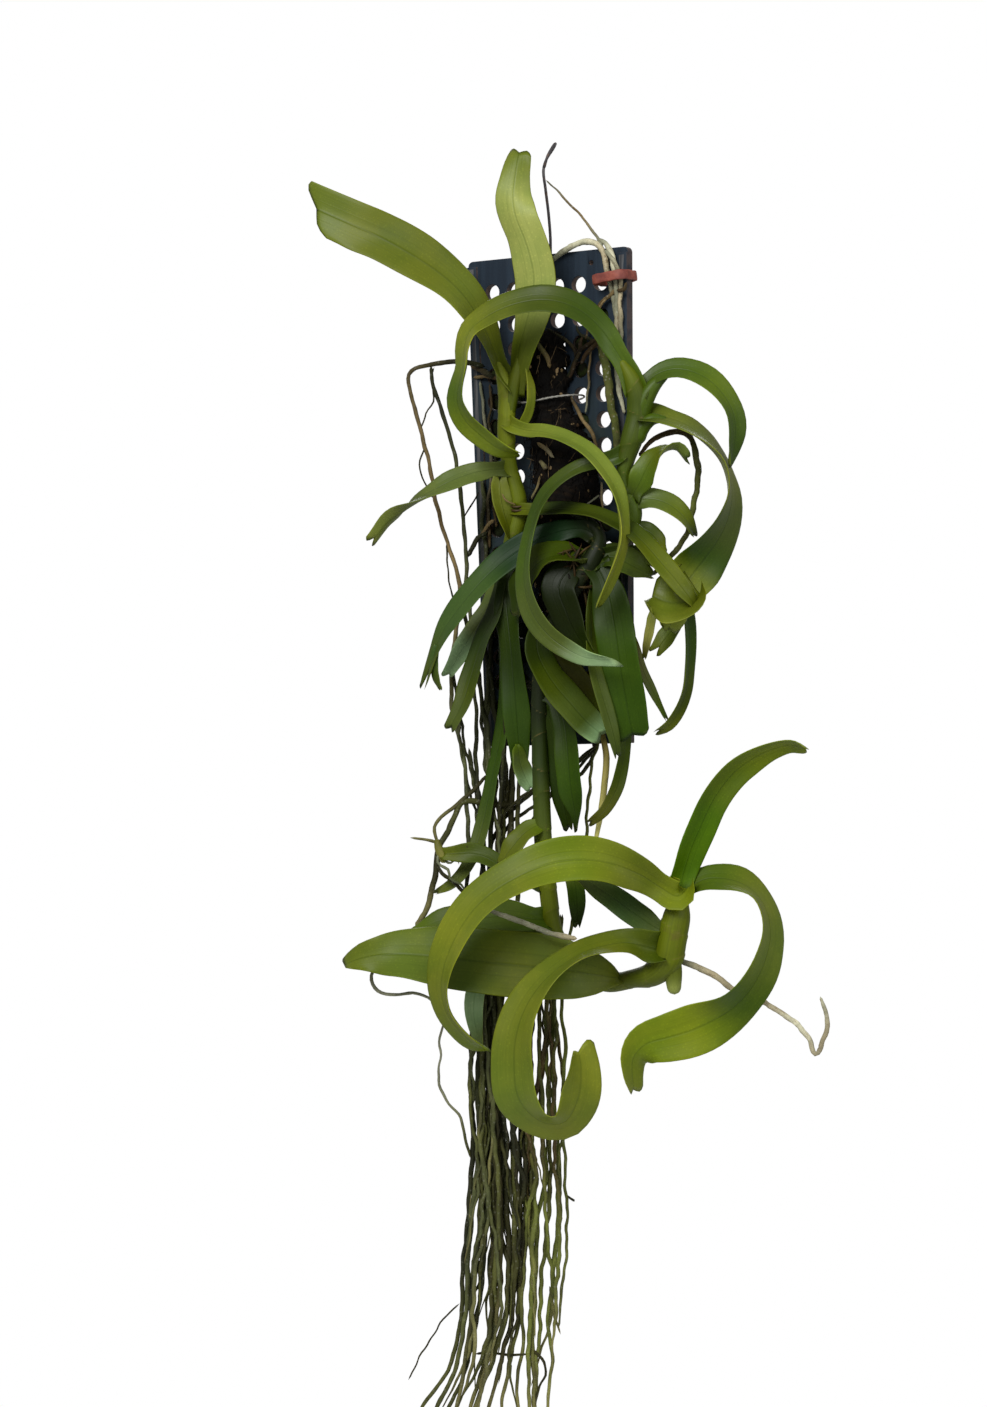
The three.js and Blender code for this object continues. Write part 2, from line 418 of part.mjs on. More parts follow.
const HANGING_ROOTS = [
  // The two arches on the left and their thin branches
  [[-38, -128, -20, 1.4], [-46, -126, -16, 1.5], [-55, -125, -12, 1.4], [-70, -127, -8, 1.3],
    [-79, -129.5, -7, 1.2], [-82, -134, -7, 1.2], [-80, -146, -7, 1.2], [-75, -162, -7, 1.2],
    [-70, -184, -8, 1.2], [-66, -205, -9, 1.2], [-60, -227, -10, 1.2], [-54, -246, -11, 1.2],
    [-52, -262, -12, 1.3], [-55, -282, -12, 1.3], [-57.5, -306, -12, 1.3],
    [-57, -320, -12, 1.2], [-53, -338, -12, 1.2], [-50, -356, -11, 1.2],
    [-48, -378, -9, 1.3], [-48, -405, -6, 1.3], [-48, -440, -3, 1.3], [-47, -470, -2, 1.4],
    [-46, -512, -2, 1.4], [-46, -545, -2, 1.4], [-45, -572, -2, 1.5], [-47, -602, -2, 1.4],
    [-50, -634, -2, 1.3], [-52, -668, -2, 1.3], [-58, -698, -2, 1.2], [-74, -721, -2, 1.1],
    [-84, -744, -2, 0.6]],
  [[-69, -127, -8, 1], [-68, -138, -8, 1.2], [-63, -152, -9, 1.2], [-57, -173, -10, 1.2],
    [-52.5, -195, -11, 1.2], [-50.5, -217, -11, 1.2], [-49, -236, -11, 1.2],
    [-48, -255, -12, 1.2], [-46.5, -274, -12, 1.2], [-46.5, -297, -12, 1.2],
    [-43.5, -322, -13, 1.2], [-43, -345, -12, 1.3], [-43, -366, -11, 1.3],
    [-40, -392, -8, 1.3], [-39, -425, -5, 1.4], [-41, -470, -2, 1.5], [-42, -510, -1, 1.5],
    [-42, -548, 0, 1.6], [-42, -582, 0, 1.6], [-46, -612, 0, 1.5], [-48, -645, 0, 1.5],
    [-50, -675, 0, 1.4], [-56, -702, 0, 1.3], [-66, -722, 0, 1.2], [-74, -748, 0, 0.6]],
  [[-67, -128, -8, 0.5], [-69, -136, -8, 0.5], [-67.5, -146, -9, 0.5], [-71.5, -155, -8, 0.5],
    [-75, -164, -7, 0.5]],
  [[-71.5, -172, -7.5, 0.5], [-75.5, -186, -8, 0.5], [-72, -196, -8.5, 0.5],
    [-66.5, -204, -9, 0.5]],
  [[-60, -228, -10, 0.5], [-59.5, -246, -11, 0.5], [-55, -264, -12, 0.5],
    [-54.5, -280, -12, 0.5]],
  [[-36, -222, -17, 1.2], [-43, -226, -14, 1.4], [-48, -237, -11, 1.3]],
  [[-41.5, -199, -18, 0.5], [-46, -207, -15, 0.5], [-51, -215, -11, 0.5]],
  // Strands that come down the board and hang below it
  [[-38, -256, -18, 1], [-40, -276, -16, 1.4], [-36, -300, -15, 1.5], [-33, -322, -15, 1.5],
    [-30, -345, -15, 1.5], [-28.5, -372, -13, 1.5], [-30, -400, -10, 1.5],
    [-33, -440, -6, 1.5], [-35, -470, -2, 1.6], [-36, -505, -1, 1.6], [-36, -540, -1, 1.7],
    [-37, -578, -1, 1.7], [-38, -615, -1, 1.6], [-40, -650, -1, 1.5], [-45, -682, -1, 1.4],
    [-51, -705, -1, 1.3], [-60, -724, -1, 1.1], [-66, -745, -1, 0.5]],
  [[-33, -262, -19, 0.9], [-35, -288, -16, 1.3], [-37, -318, -14, 1.3], [-37, -345, -13, 1.3],
    [-34, -372, -12, 1.3], [-35, -400, -9, 1.4], [-37, -438, -5, 1.4], [-38.5, -470, -2, 1.5],
    [-39, -505, 1, 1.5], [-40, -545, 2, 1.5], [-39.5, -580, 2, 1.5], [-41, -612, 2, 1.4],
    [-44, -645, 2, 1.4], [-47, -675, 2, 1.3], [-50, -700, 2, 1.2], [-55, -724, 2, 1],
    [-58, -750, 2, 0.5]],
  [[-22, -351, -13, 1.2], [-23, -362, -13, 1.9], [-23, -380, -12, 1.9], [-25, -405, -9, 1.8],
    [-27, -440, -5, 1.7], [-28, -470, -2, 1.7], [-29, -505, -1, 1.6], [-29, -540, 0, 1.6],
    [-28, -572, 0, 1.7], [-26, -602, 0, 1.8], [-24.5, -640, 0, 1.8], [-26, -668, 0, 1.6],
    [-32, -688, 0, 1.5], [-38, -706, 0, 1.3], [-45, -724, 0, 1.1], [-50, -748, 0, 0.5]],
  [[-18, -352, -12, 1], [-19, -372, -11, 1.3], [-20, -400, -8, 1.4], [-20, -440, -4, 1.5],
    [-22, -470, -2, 1.6], [-23, -520, 1, 1.6], [-22.5, -560, 2, 1.7], [-21.5, -600, 2, 1.8],
    [-21, -640, 2, 1.7], [-23, -668, 2, 1.5], [-27, -688, 2, 1.4], [-32, -706, 2, 1.2],
    [-37, -728, 2, 1], [-40, -752, 2, 0.5]],
  [[-14, -440, -3, 1.2], [-17, -470, -2, 1.5], [-18.5, -520, -2, 1.5], [-18, -562, -2, 1.5],
    [-18, -602, -2, 1.5], [-18, -642, -2, 1.5], [-19.5, -672, -2, 1.4], [-24, -696, -2, 1.3],
    [-28, -716, -2, 1.1], [-30, -744, -2, 0.5]],
  [[-10, -440, -2, 1], [-13, -470, -2, 1.4], [-14.5, -520, 0, 1.4], [-15, -562, 0, 1.4],
    [-15, -602, 0, 1.4], [-15.5, -640, 0, 1.3], [-17.5, -664, 0, 1.2], [-16.5, -690, 0, 1.1],
    [-20, -706, 0, 1], [-19, -728, 0, 0.8], [-21, -746, 0, 0.4]],
  [[-6, -440, -1, 1], [-9, -470, -2, 1.3], [-12, -520, 2, 1.3], [-12, -560, 2, 1.3],
    [-11.5, -595, 2, 1.3], [-11.5, -650, 2, 1.3], [-13, -684, 2, 1.3], [-13.5, -706, 2, 1.2],
    [-12, -730, 2, 1], [-13, -756, 2, 0.4]],
  [[-2, -440, 2, 1], [-5, -470, -2, 1.3], [-7.5, -500, -1, 1.3], [-6.5, -532, -1, 1.3],
    [-5, -562, -1, 1.4], [-4, -592, 0, 1.4], [-8, -614, 1, 1.4], [-9.5, -650, 0, 1.4],
    [-11, -690, 0, 1.3], [-10, -722, 0, 1.1], [-11, -750, 0, 0.5]],
  [[2, -440, 1, 1], [0, -470, -2, 1.2], [-3.5, -500, -2, 1.2], [-2, -540, -2, 1.3],
    [-1, -578, -2, 1.3], [-2, -612, -1, 1.4], [-5.5, -642, -1, 1.3], [-7, -676, -1, 1.2],
    [-9, -704, -1, 1.1], [-9, -730, -1, 0.8], [-7, -750, -1, 0.4]],
  [[6, -440, 0, 1], [4, -470, -2, 1.2], [0.5, -505, -1, 1.3], [1, -545, 0, 1.3],
    [3.5, -580, 0, 1.7], [4, -612, 0, 1.7], [1, -642, 0, 1.4], [-2, -672, 0, 1.1],
    [0, -698, 0, 1], [-3, -724, 0, 0.9], [-2, -748, 0, 0.4]],
  [[24, -300, 24, 0.7], [28, -335, 22, 0.8], [23, -354, 19, 0.9], [21, -372, 17, 0.9],
    [18, -410, 10, 0.9], [11, -448, 3, 1], [6, -470, -2, 1.1], [5.5, -492, 2, 1.1],
    [7.5, -515, 4, 1.1], [6, -552, 5, 1.1], [7.5, -585, 5, 0.9], [8.5, -630, 5, 0.9],
    [5.5, -655, 5, 0.9], [4, -676, 5, 0.6]],
  [[7.5, -600, 5, 0.6], [13, -604, 5, 0.8]],
  [[-1.5, -652, 0, 0.9], [1.5, -668, 1, 0.9], [5, -680, 1, 0.5]],
  [[-11, -688, 0, 0.9], [-4.5, -695, 1, 0.8], [-3, -702, 1, 0.7], [-8, -710, 0, 0.7],
    [-10, -722, 0, 0.7]],
  [[-52.5, -662, -2, 0.5], [-60, -669, -2, 0.5], [-69, -682, -2, 0.5], [-76, -694, -2, 0.5],
    [-82, -706, -2, 0.4]],
  [[-44, -691, 1, 0.8], [-36, -690, 0, 0.7], [-26, -691.5, 0, 0.7], [-13, -691, 1, 0.7]],
  // Roots round the old shoot on the left
  [[-22, -378, -12, 1.6], [-36, -377.5, -10, 1.8], [-50, -376, -8, 1.7], [-57, -388, -5, 1.7],
    [-64, -402, -2, 1.7], [-67, -420, 2, 1.7], [-71, -436, 6, 1.8], [-78, -448, 9, 1.6]],
  [[-36, -360, -12, 0.9], [-44, -368, -10, 1.2], [-53, -377, -7, 1.2], [-62, -384, -4, 1.1],
    [-67, -391, -2, 1], [-65, -400, -2, 0.9]],
  [[-64, -399.5, -1, 0.9], [-70, -398, 3, 0.8], [-81, -396.5, 5, 0.6]],
  [[-65.5, -412, 1, 0.9], [-62, -417, 6, 1.1], [-58, -420, 8, 1.1], [-54, -424, 8, 1.1],
    [-48, -431, 5, 0.9]],
  [[-72, -470, 22, 0.8], [-90, -466, 26, 0.9], [-102, -472, 27, 1], [-102.5, -480, 27, 1.1],
    [-97, -485, 26, 1], [-88, -486, 24, 0.9], [-79, -485, 22, 0.9], [-70, -488, 18, 0.8],
    [-62, -499, 13, 0.7], [-64, -512, 10, 0.7], [-63, -520, 8, 0.7], [-65, -531, 6, 0.8],
    [-61, -545, 4, 0.8], [-52, -557, 2, 0.8], [-48.5, -571, 0, 0.9], [-46, -580, -2, 0.8]],
  // One cross root behind the broad lowest leaf
  [[-49, -470, -2, 1.1], [-30, -471, -2, 1.4], [-12, -469, -2, 1.4], [8, -470, -2, 1]],
];

// Wire, as seen on the grid; its hook is in a plane along the sight lines
const WIRE_ROUTE = [
  [-4.5, -15, 8], [-2.5, -8, 10], [0.5, -2.5, 6.5], [2, -0.8, 0], [0.5, -4, -7],
  [-3, -9.5, -7.5], [-4.8, -16, -4], [-3.6, -27, -4.5], [-1.8, -42, -7], [-0.8, -58, -10.5],
  [-1.5, -70, -12.5], [-6, -79, -14],
];

function boardPlace(x, down) {
  const lean = new THREE.Vector2(x, -down).rotateAround(new THREE.Vector2(), -BOARD.lean);
  return new THREE.Vector3(BOARD.axisX + lean.x, 0, BOARD.topZ + lean.y);
}

function columnX(column) {
  return (column - (BOARD.columns - 1) / 2) * BOARD.columnPitch + BOARD.columnShift;
}

function rowDown(row) {
  return row === 0 ? BOARD.firstRow : BOARD.secondRow + (row - 1) * BOARD.rowPitch;
}

function standUp(geometry, backY) {
  geometry.rotateX(Math.PI / 2);
  geometry.rotateY(BOARD.lean);
  geometry.translate(BOARD.axisX, backY, BOARD.topZ);
  return geometry;
}

function makeBoard() {
  const half = BOARD.width / 2;
  const foot = half - BOARD.narrowing / 2;
  const r = BOARD.corner;
  const face = new THREE.Shape();
  face.moveTo(-foot, -BOARD.length);
  face.lineTo(foot, -BOARD.length);
  face.lineTo(half, -r);
  face.quadraticCurveTo(half, 0, half - r, 0);
  face.lineTo(r - half, 0);
  face.quadraticCurveTo(-half, 0, -half, -r);
  face.closePath();
  for (let row = 0; row < BOARD.rows; row += 1) {
    for (let column = 0; column < BOARD.columns; column += 1) {
      const hole = new THREE.Path();
      hole.absarc(columnX(column), -rowDown(row), BOARD.holeRadius, 0, 2 * Math.PI, true);
      face.holes.push(hole);
    }
  }
  const screwHole = new THREE.Path();
  const { screwHoleX, screwHoleDown, screwHoleRadius } = BOARD;
  screwHole.absarc(screwHoleX, -screwHoleDown, screwHoleRadius, 0, 2 * Math.PI, true);
  face.holes.push(screwHole);
  const sheet = new THREE.ExtrudeGeometry(face, {
    depth: BOARD.thick, steps: 1, curveSegments: 3, bevelEnabled: false,
  });
  const pieces = [standUp(sheet, BOARD_BACK_Y)];
  for (const side of [-1, 1]) {
    const bead = new THREE.Shape([
      new THREE.Vector2(side * (half - BOARD.beadWidth), -r),
      new THREE.Vector2(side * (half - 0.05), -r),
      new THREE.Vector2(side * (foot - 0.05), -BOARD.length + 0.05),
      new THREE.Vector2(side * (foot - BOARD.beadWidth), -BOARD.length + 0.05),
    ]);
    const ridge = new THREE.ExtrudeGeometry(bead, {
      depth: BOARD.thick / 2 + BOARD.beadRise, steps: 1, bevelEnabled: false,
    });
    pieces.push(standUp(ridge, BOARD_BACK_Y - BOARD.thick / 2));
  }
  addMesh('board', join(pieces), { color: 0x232c38, roughness: 0.55, metalness: 0 });
}

function makeWire() {
  const curve = curveThrough(WIRE_ROUTE);
  // The lower end goes through a hole of the first row and turns up in front of the board.
  const hole = boardPlace(columnX(2), rowDown(0));
  const points = curve.points;
  points.push(new THREE.Vector3(hole.x + 0.2, BOARD_BACK_Y + 1.5, hole.z + 2.6));
  points.push(new THREE.Vector3(hole.x, BOARD_BACK_Y - 1, hole.z + 1.5));
  points.push(new THREE.Vector3(hole.x, BOARD.frontY + 1, hole.z + 1.5));
  points.push(new THREE.Vector3(hole.x, BOARD.frontY - 1.7, hole.z + 3));
  points.push(new THREE.Vector3(hole.x, BOARD.frontY - 2.3, hole.z + 8.5));
  addMesh('hanger_wire', wireAlong(curve, WIRE_RADIUS, 30),
    { color: 0x3a3836, roughness: 0.45, metalness: 0.8 });
}

// The band closes round the board's right edge, through the last hole of the first row.
function makeBand() {
  const hole = boardPlace(columnX(BOARD.columns - 1), rowDown(0));
  const outline = (shape, grow) => {
    const left = BAND.thick / 2 - grow;
    const right = BOARD.width / 2 - columnX(BOARD.columns - 1) + BAND.sideReach + grow;
    const front = -BAND.frontReach - grow;
    const back = BOARD.thick + BAND.backReach + grow;
    const r = 1.4 + grow;
    shape.moveTo(left + r, front);
    shape.lineTo(right - 2 * r, front);
    shape.quadraticCurveTo(right, front, right, front + 2 * r);
    shape.lineTo(right, back - r);
    shape.quadraticCurveTo(right, back, right - r, back);
    shape.lineTo(left + r, back);
    shape.quadraticCurveTo(left, back, left, back - r);
    shape.lineTo(left, front + r);
    shape.quadraticCurveTo(left, front, left + r, front);
    return shape;
  };
  const ring = outline(new THREE.Shape(), BAND.thick);
  ring.holes.push(outline(new THREE.Path(), 0));
  const geometry = new THREE.ExtrudeGeometry(ring, {
    depth: BAND.height, steps: 1, curveSegments: 3, bevelEnabled: false,
  });
  geometry.translate(0, 0, -BAND.height / 2);
  geometry.rotateY(BAND.tilt);
  geometry.translate(hole.x, BOARD.frontY, hole.z + 0.4);
  addMesh('root_band', geometry, { color: 0x7b3b30, roughness: 0.6, metalness: 0 });
}

// A small repeatable noise, -1 to 1.
function noise(x, z) {
  const value = Math.sin(x * 12.9898 + z * 78.233) * 43758.5453;
  return 2 * (value - Math.floor(value)) - 1;
}

function makePad() {
  const geometry = new THREE.BoxGeometry(1, 1, 1, PAD.across, 1, PAD.rows);
  const place = geometry.attributes.position;
  for (let i = 0; i < place.count; i += 1) {
    const u = place.getX(i) + 0.5;
    const v = place.getZ(i) + 0.5;
    const height = valueAlong(PAD_BORDERS, 0, v);
    const left = valueAlong(PAD_BORDERS, 1, v);
    const right = valueAlong(PAD_BORDERS, 2, v);
    const rim = Math.max(Math.abs(u - 0.5), Math.abs(v - 0.5)) > 0.49;
    const bulge = rim ? -PAD.depth * 0.5 : noise(u * 7, v * 9) * PAD.rough;
    const x = THREE.MathUtils.lerp(left, right, u) + noise(u + 3, v) * 0.9;
    const y = place.getY(i) < 0 ? -PAD.depth - bulge : 0;
    place.setXYZ(i, x, y, height + noise(u + 5, v) * 1.5);
  }
  geometry.translate(0, BOARD.frontY - GAP, 0);
  addMesh('fibre_pad', geometry, { color: 0x1d1712, roughness: 0.95, metalness: 0 });
}

function makeStrings() {
  const row = 4;
  const left = boardPlace(columnX(1), rowDown(row));
  const right = boardPlace(columnX(4), rowDown(row));
  const padFront = BOARD.frontY - GAP - PAD.depth - PAD.rough - GAP - STRING_RADIUS;
  const behind = BOARD_BACK_Y + GAP + STRING_RADIUS;
  const crossing = new THREE.CatmullRomCurve3([
    new THREE.Vector3(left.x + 6, behind, left.z - 2),
    new THREE.Vector3(left.x + 1.6, behind + 0.1, left.z - 0.6),
    new THREE.Vector3(left.x, BOARD.frontY + 1.8, left.z),
    new THREE.Vector3(left.x + 0.3, BOARD.frontY - 2.6, left.z),
    new THREE.Vector3(left.x + 3.5, padFront + 1, left.z - 1),
    new THREE.Vector3(left.x + 9, padFront, left.z - 1.8),
    new THREE.Vector3(right.x - 10, padFront, right.z - 1),
    new THREE.Vector3(right.x - 3.5, padFront + 1, right.z - 0.4),
    new THREE.Vector3(right.x - 0.3, BOARD.frontY - 2.6, right.z),
    new THREE.Vector3(right.x, BOARD.frontY + 1.8, right.z),
    new THREE.Vector3(right.x - 1.6, behind + 0.1, right.z - 0.6),
    new THREE.Vector3(right.x - 6, behind, right.z - 2),
  ], false, 'centripetal');
  addMesh('pad_string', wireAlong(crossing, STRING_RADIUS, 26),
    { color: 0x8f8c84, roughness: 0.8, metalness: 0 });
}

function leafyStem(name, limbs, leaves, color) {
  const pieces = limbs.map((rows) => limb(rows, STEM_SIDES, 1));
  for (const { rows, ...shape } of leaves) pieces.push(leaf(rows, shape));
  addMesh(name, join(pieces), { color, roughness: 0.5, metalness: 0 });
}

function roots(name, strands, color, sides = ROOT_SIDES) {
  const pieces = strands.map((rows) => limb(rows, sides, 0.72));
  addMesh(name, join(pieces), { color, roughness: 0.85, metalness: 0 });
}

makeBoard();
makeWire();
makeBand();
makePad();
makeStrings();
leafyStem('leafy_stem_left', [LEFT_STEM, LEFT_SHEATH], LEFT_LEAVES, 0x6d7a2c);
leafyStem('leafy_stem_right', [RIGHT_STEM], RIGHT_LEAVES, 0x4d6a1e);
leafyStem('leafy_stem_long', [LONG_STEM, LONG_STEM_STUB, OLD_SHOOT_STUB],
  LONG_STEM_LEAVES, 0x5d7026);
roots('roots_over_rim', UPPER_ROOTS, 0x9d9a7c);
roots('root_loop_right', RIGHT_LOOP_ROOT, 0x4a4427);
roots('root_front_right', FRONT_RIGHT_ROOT, 0x9b9179);
roots('root_front_left', FRONT_LEFT_ROOT, 0x8d8d7a);
roots('hanging_roots', HANGING_ROOTS, 0x4b4d2f, HANGING_ROOT_SIDES);

export default part;
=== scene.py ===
# %% [markdown]
# # An orchid mounted on a perforated board
#
# The plant is an epiphyte: it has no pot. Three leafy stems grow from a pad of fern fibre that
# is tied to a dark plastic board, and its roots hang far below. The board hangs from a wire.
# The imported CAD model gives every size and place. This lesson dresses each CAD node with a
# finer piece: curved leaf blades, sheathed stems, rough roots, a moulded board and a wire.

import json
import math
import random
from collections import namedtuple

import bmesh
import bpy
import numpy as np
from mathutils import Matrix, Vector

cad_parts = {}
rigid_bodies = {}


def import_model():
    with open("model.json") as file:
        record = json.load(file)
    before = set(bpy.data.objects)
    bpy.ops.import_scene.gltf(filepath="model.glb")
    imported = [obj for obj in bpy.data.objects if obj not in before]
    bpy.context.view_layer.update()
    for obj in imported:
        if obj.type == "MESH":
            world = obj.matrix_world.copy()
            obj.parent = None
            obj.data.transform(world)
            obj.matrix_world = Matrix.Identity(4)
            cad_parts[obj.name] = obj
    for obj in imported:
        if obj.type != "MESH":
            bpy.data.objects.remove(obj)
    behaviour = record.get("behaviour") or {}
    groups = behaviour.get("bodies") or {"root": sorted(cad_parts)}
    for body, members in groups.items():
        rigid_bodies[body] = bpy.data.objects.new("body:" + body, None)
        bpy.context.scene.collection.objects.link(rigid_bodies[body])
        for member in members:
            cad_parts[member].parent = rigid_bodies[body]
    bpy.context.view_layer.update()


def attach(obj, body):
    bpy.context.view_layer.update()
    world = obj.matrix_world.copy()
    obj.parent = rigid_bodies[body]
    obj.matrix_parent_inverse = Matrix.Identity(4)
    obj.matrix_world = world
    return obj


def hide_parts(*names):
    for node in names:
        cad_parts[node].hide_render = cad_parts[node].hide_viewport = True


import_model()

# %% [markdown]
# ## The sketch grid
#
# All routes are points on an upright sketch grid that faces the plant from its front left:
# across, up and depth towards the viewer. Its sight lines meet at one eye. The same grid was
# used for the CAD model, so a leaf drawn here lies where its solid lies. Places could be
# written in the part's own frame, but grid points can be compared with the photograph.

# %% Turn grid points into metres
MM = 0.001                      # metres in a millimetre
GRID_STEP = 0.75 * MM           # metres in one step of the grid
GRID_TURN = math.radians(32.5)  # between the grid and the board

# The eye, and the inner top of the hook, which is the part's origin: all in grid steps
EYE_ACROSS, EYE_UP, EYE_DISTANCE = -33.3, -320.0, 2300.0
HOOK_ACROSS, HOOK_UP = 2.0, -1.6
TOWARDS_EYE = Vector((math.sin(GRID_TURN), -math.cos(GRID_TURN), 0.0))


def seen(across, up, depth):
    """The place of a grid point in the part's frame, in metres."""
    nearer = 1 - depth / EYE_DISTANCE
    right = EYE_ACROSS + (across - EYE_ACROSS) * nearer - HOOK_ACROSS
    height = EYE_UP + (up - EYE_UP) * nearer - HOOK_UP
    x = right * math.cos(GRID_TURN) + depth * math.sin(GRID_TURN)
    y = right * math.sin(GRID_TURN) - depth * math.cos(GRID_TURN)
    return GRID_STEP * Vector((x, y, height))


print("a point on the sight axis:", [round(value, 4) for value in seen(EYE_ACROSS, EYE_UP, 0)])

# %% [markdown]
# ## A smooth route
#
# A leaf's midrib, a stem and a root are all lines with a size along them. The curve used here
# goes through every chosen point, where one with handles would need two of them at each. It
# is spaced by the square roots of the distances, so it makes no loops at tight bends. The
# route can also wander a little from side to side, as a root does.

# %% Define a value that changes smoothly
def eased(values, u):
    """A smooth value at u between 0 and 1 through evenly spaced numbers."""
    place = min(max(u, 0.0), 1.0) * (len(values) - 1)
    i = min(int(place), len(values) - 2)
    w = place - i
    a, b = values[max(i - 1, 0)], values[i]
    c, d = values[i + 1], values[min(i + 2, len(values) - 1)]
    return b + 0.5 * w * (c - a + w * (2 * a - 5 * b + 4 * c - d + w * (3 * (b - c) + d - a)))


print("a quarter of the way through 0, 1, 0:", eased([0, 1, 0], 0.25))

# %% Define a route
FINE_STEPS = 20     # steps between two chosen points, to measure the length
SLOW_WAVE, QUICK_WAVE = 260, 610    # how tightly a root wanders, in radians a metre

Line = namedtuple("Line", "places ways sizes shares")


class Route:
    """A smooth line through places in metres, with a size at each of them."""

    def __init__(self, places, sizes, wander=0.0, seed=0):
        self.points = [np.array(place) for place in places]
        self.sizes = sizes
        self.wander = wander
        chance = random.Random(seed)
        self.waves = [(chance.uniform(0.6, 1.4), chance.uniform(0, 6.3)) for _ in range(4)]
        self.fine = np.linspace(0, 1, FINE_STEPS * (len(places) - 1) + 1)
        line = np.array([self.bare_point(u) for u in self.fine])
        self.marks = np.concatenate([[0], np.cumsum(np.linalg.norm(np.diff(line, axis=0), axis=1))])
        self.length = float(self.marks[-1])

    def bare_point(self, u):
        """A place on the centripetal curve, before it wanders."""
        count = len(self.points)
        i = min(int(u * (count - 1)), count - 2)
        w = u * (count - 1) - i
        b, c = self.points[i], self.points[i + 1]
        a = self.points[i - 1] if i > 0 else 2 * b - c
        d = self.points[i + 2] if i + 2 < count else 2 * c - b
        before, here, after = (np.linalg.norm(q - p) ** 0.5 for p, q in ((a, b), (b, c), (c, d)))
        start = ((b - a) / before - (c - a) / (before + here) + (c - b) / here) * here
        end = ((c - b) / here - (d - b) / (here + after) + (d - c) / after) * here
        return (b + start * w + (3 * (c - b) - 2 * start - end) * w ** 2
                + (2 * (b - c) + start + end) * w ** 3)

    def line(self, count, crowd_ends=0.0):
        """Rings evenly along the length, or closer at the ends: one more than the count."""
        t = np.linspace(0, 1, count + 1)
        t = (1 - crowd_ends) * t + crowd_ends * (1 - np.cos(math.pi * t)) / 2
        u = np.interp(t * self.length, self.marks, self.fine)
        places = np.array([self.bare_point(v) for v in u])
        if self.wander:
            s = t * self.length
            hold = np.clip(np.minimum(t, 1 - t) * 8, 0, 1)
            for axis in (0, 1):
                (slow, start), (quick, later) = self.waves[2 * axis:2 * axis + 2]
                drift = (np.sin(s * SLOW_WAVE * slow + start)
                         + 0.6 * np.sin(s * QUICK_WAVE * quick + later))
                places[:, axis] += self.wander * hold * drift
        ways = np.gradient(places, axis=0)
        ways /= np.linalg.norm(ways, axis=1)[:, None]
        sizes = np.array([eased(self.sizes, v) for v in u])
        return Line(places, ways, sizes, t)


def drawn_route(rows, wander=0.0, seed=0):
    """A route through the rows of a table: across, up, depth, size."""
    return Route([seen(*row[:3]) for row in rows], [row[3] for row in rows], wander, seed)


print("route class ready")

# %% [markdown]
# ## A skin of wrapped grids
#
# Every plant piece is a closed skin. A grid is made with one operator, then wrapped round its
# route: one side of the grid runs along the route and the other goes round it, so the UV map
# follows the plant. The grid's two long borders are merged, and its ends are drawn together.
# A curve with a round bevel could make the roots, but not a leaf's changing section. Two
# values are kept at each point for the finishes: a tint, and how far the point lies from the
# blade's midrib or a sheath's rim.

# %% Define the skin
MERGE_DISTANCE = 2e-6


class Skin:
    """A mesh in the making, to which wrapped grids are added."""

    def __init__(self):
        self.bm = bmesh.new()
        self.bm.loops.layers.uv.new("UVMap")
        self.tint = self.bm.verts.layers.float_color.new("tint")
        self.reach = self.bm.verts.layers.float.new("reach")

    def wrap(self, points, tints, reach):
        """Arrays by ring and by side; the last side meets the first."""
        rings, sides = points.shape[0] - 1, points.shape[1]
        grid = bmesh.ops.create_grid(self.bm, x_segments=rings, y_segments=sides, size=0.5,
                                     calc_uvs=True)
        for vert in grid["verts"]:
            i = round((vert.co.x + 0.5) * rings)
            j = round((vert.co.y + 0.5) * sides) % sides
            vert.co = points[i, j]
            vert[self.tint] = (*tints[i, j], 1.0)
            vert[self.reach] = reach[i, j]
        bmesh.ops.remove_doubles(self.bm, verts=grid["verts"], dist=MERGE_DISTANCE)

    def finish(self, name, material, nodes, slot):
        """Makes the piece, which then stands for its CAD nodes."""
        bmesh.ops.recalc_face_normals(self.bm, faces=self.bm.faces)
        mesh = bpy.data.meshes.new(name)
        self.bm.to_mesh(mesh)
        self.bm.free()
        return place_piece(name, mesh, material, nodes)


def place_piece(name, mesh, material, nodes):
    """Shades a mesh smooth, links it, and ties it to its CAD nodes."""
    for polygon in mesh.polygons:
        polygon.use_smooth = True
    mesh.materials.append(material)
    piece = bpy.data.objects.new(name, mesh)
    bpy.context.scene.collection.objects.link(piece)
    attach(piece, "root")
    if nodes:
        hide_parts(*nodes)
    triangles = sum(len(polygon.vertices) - 2 for polygon in mesh.polygons)
    print(f"{name}: {triangles} triangles")
    return piece


print("skin class ready")
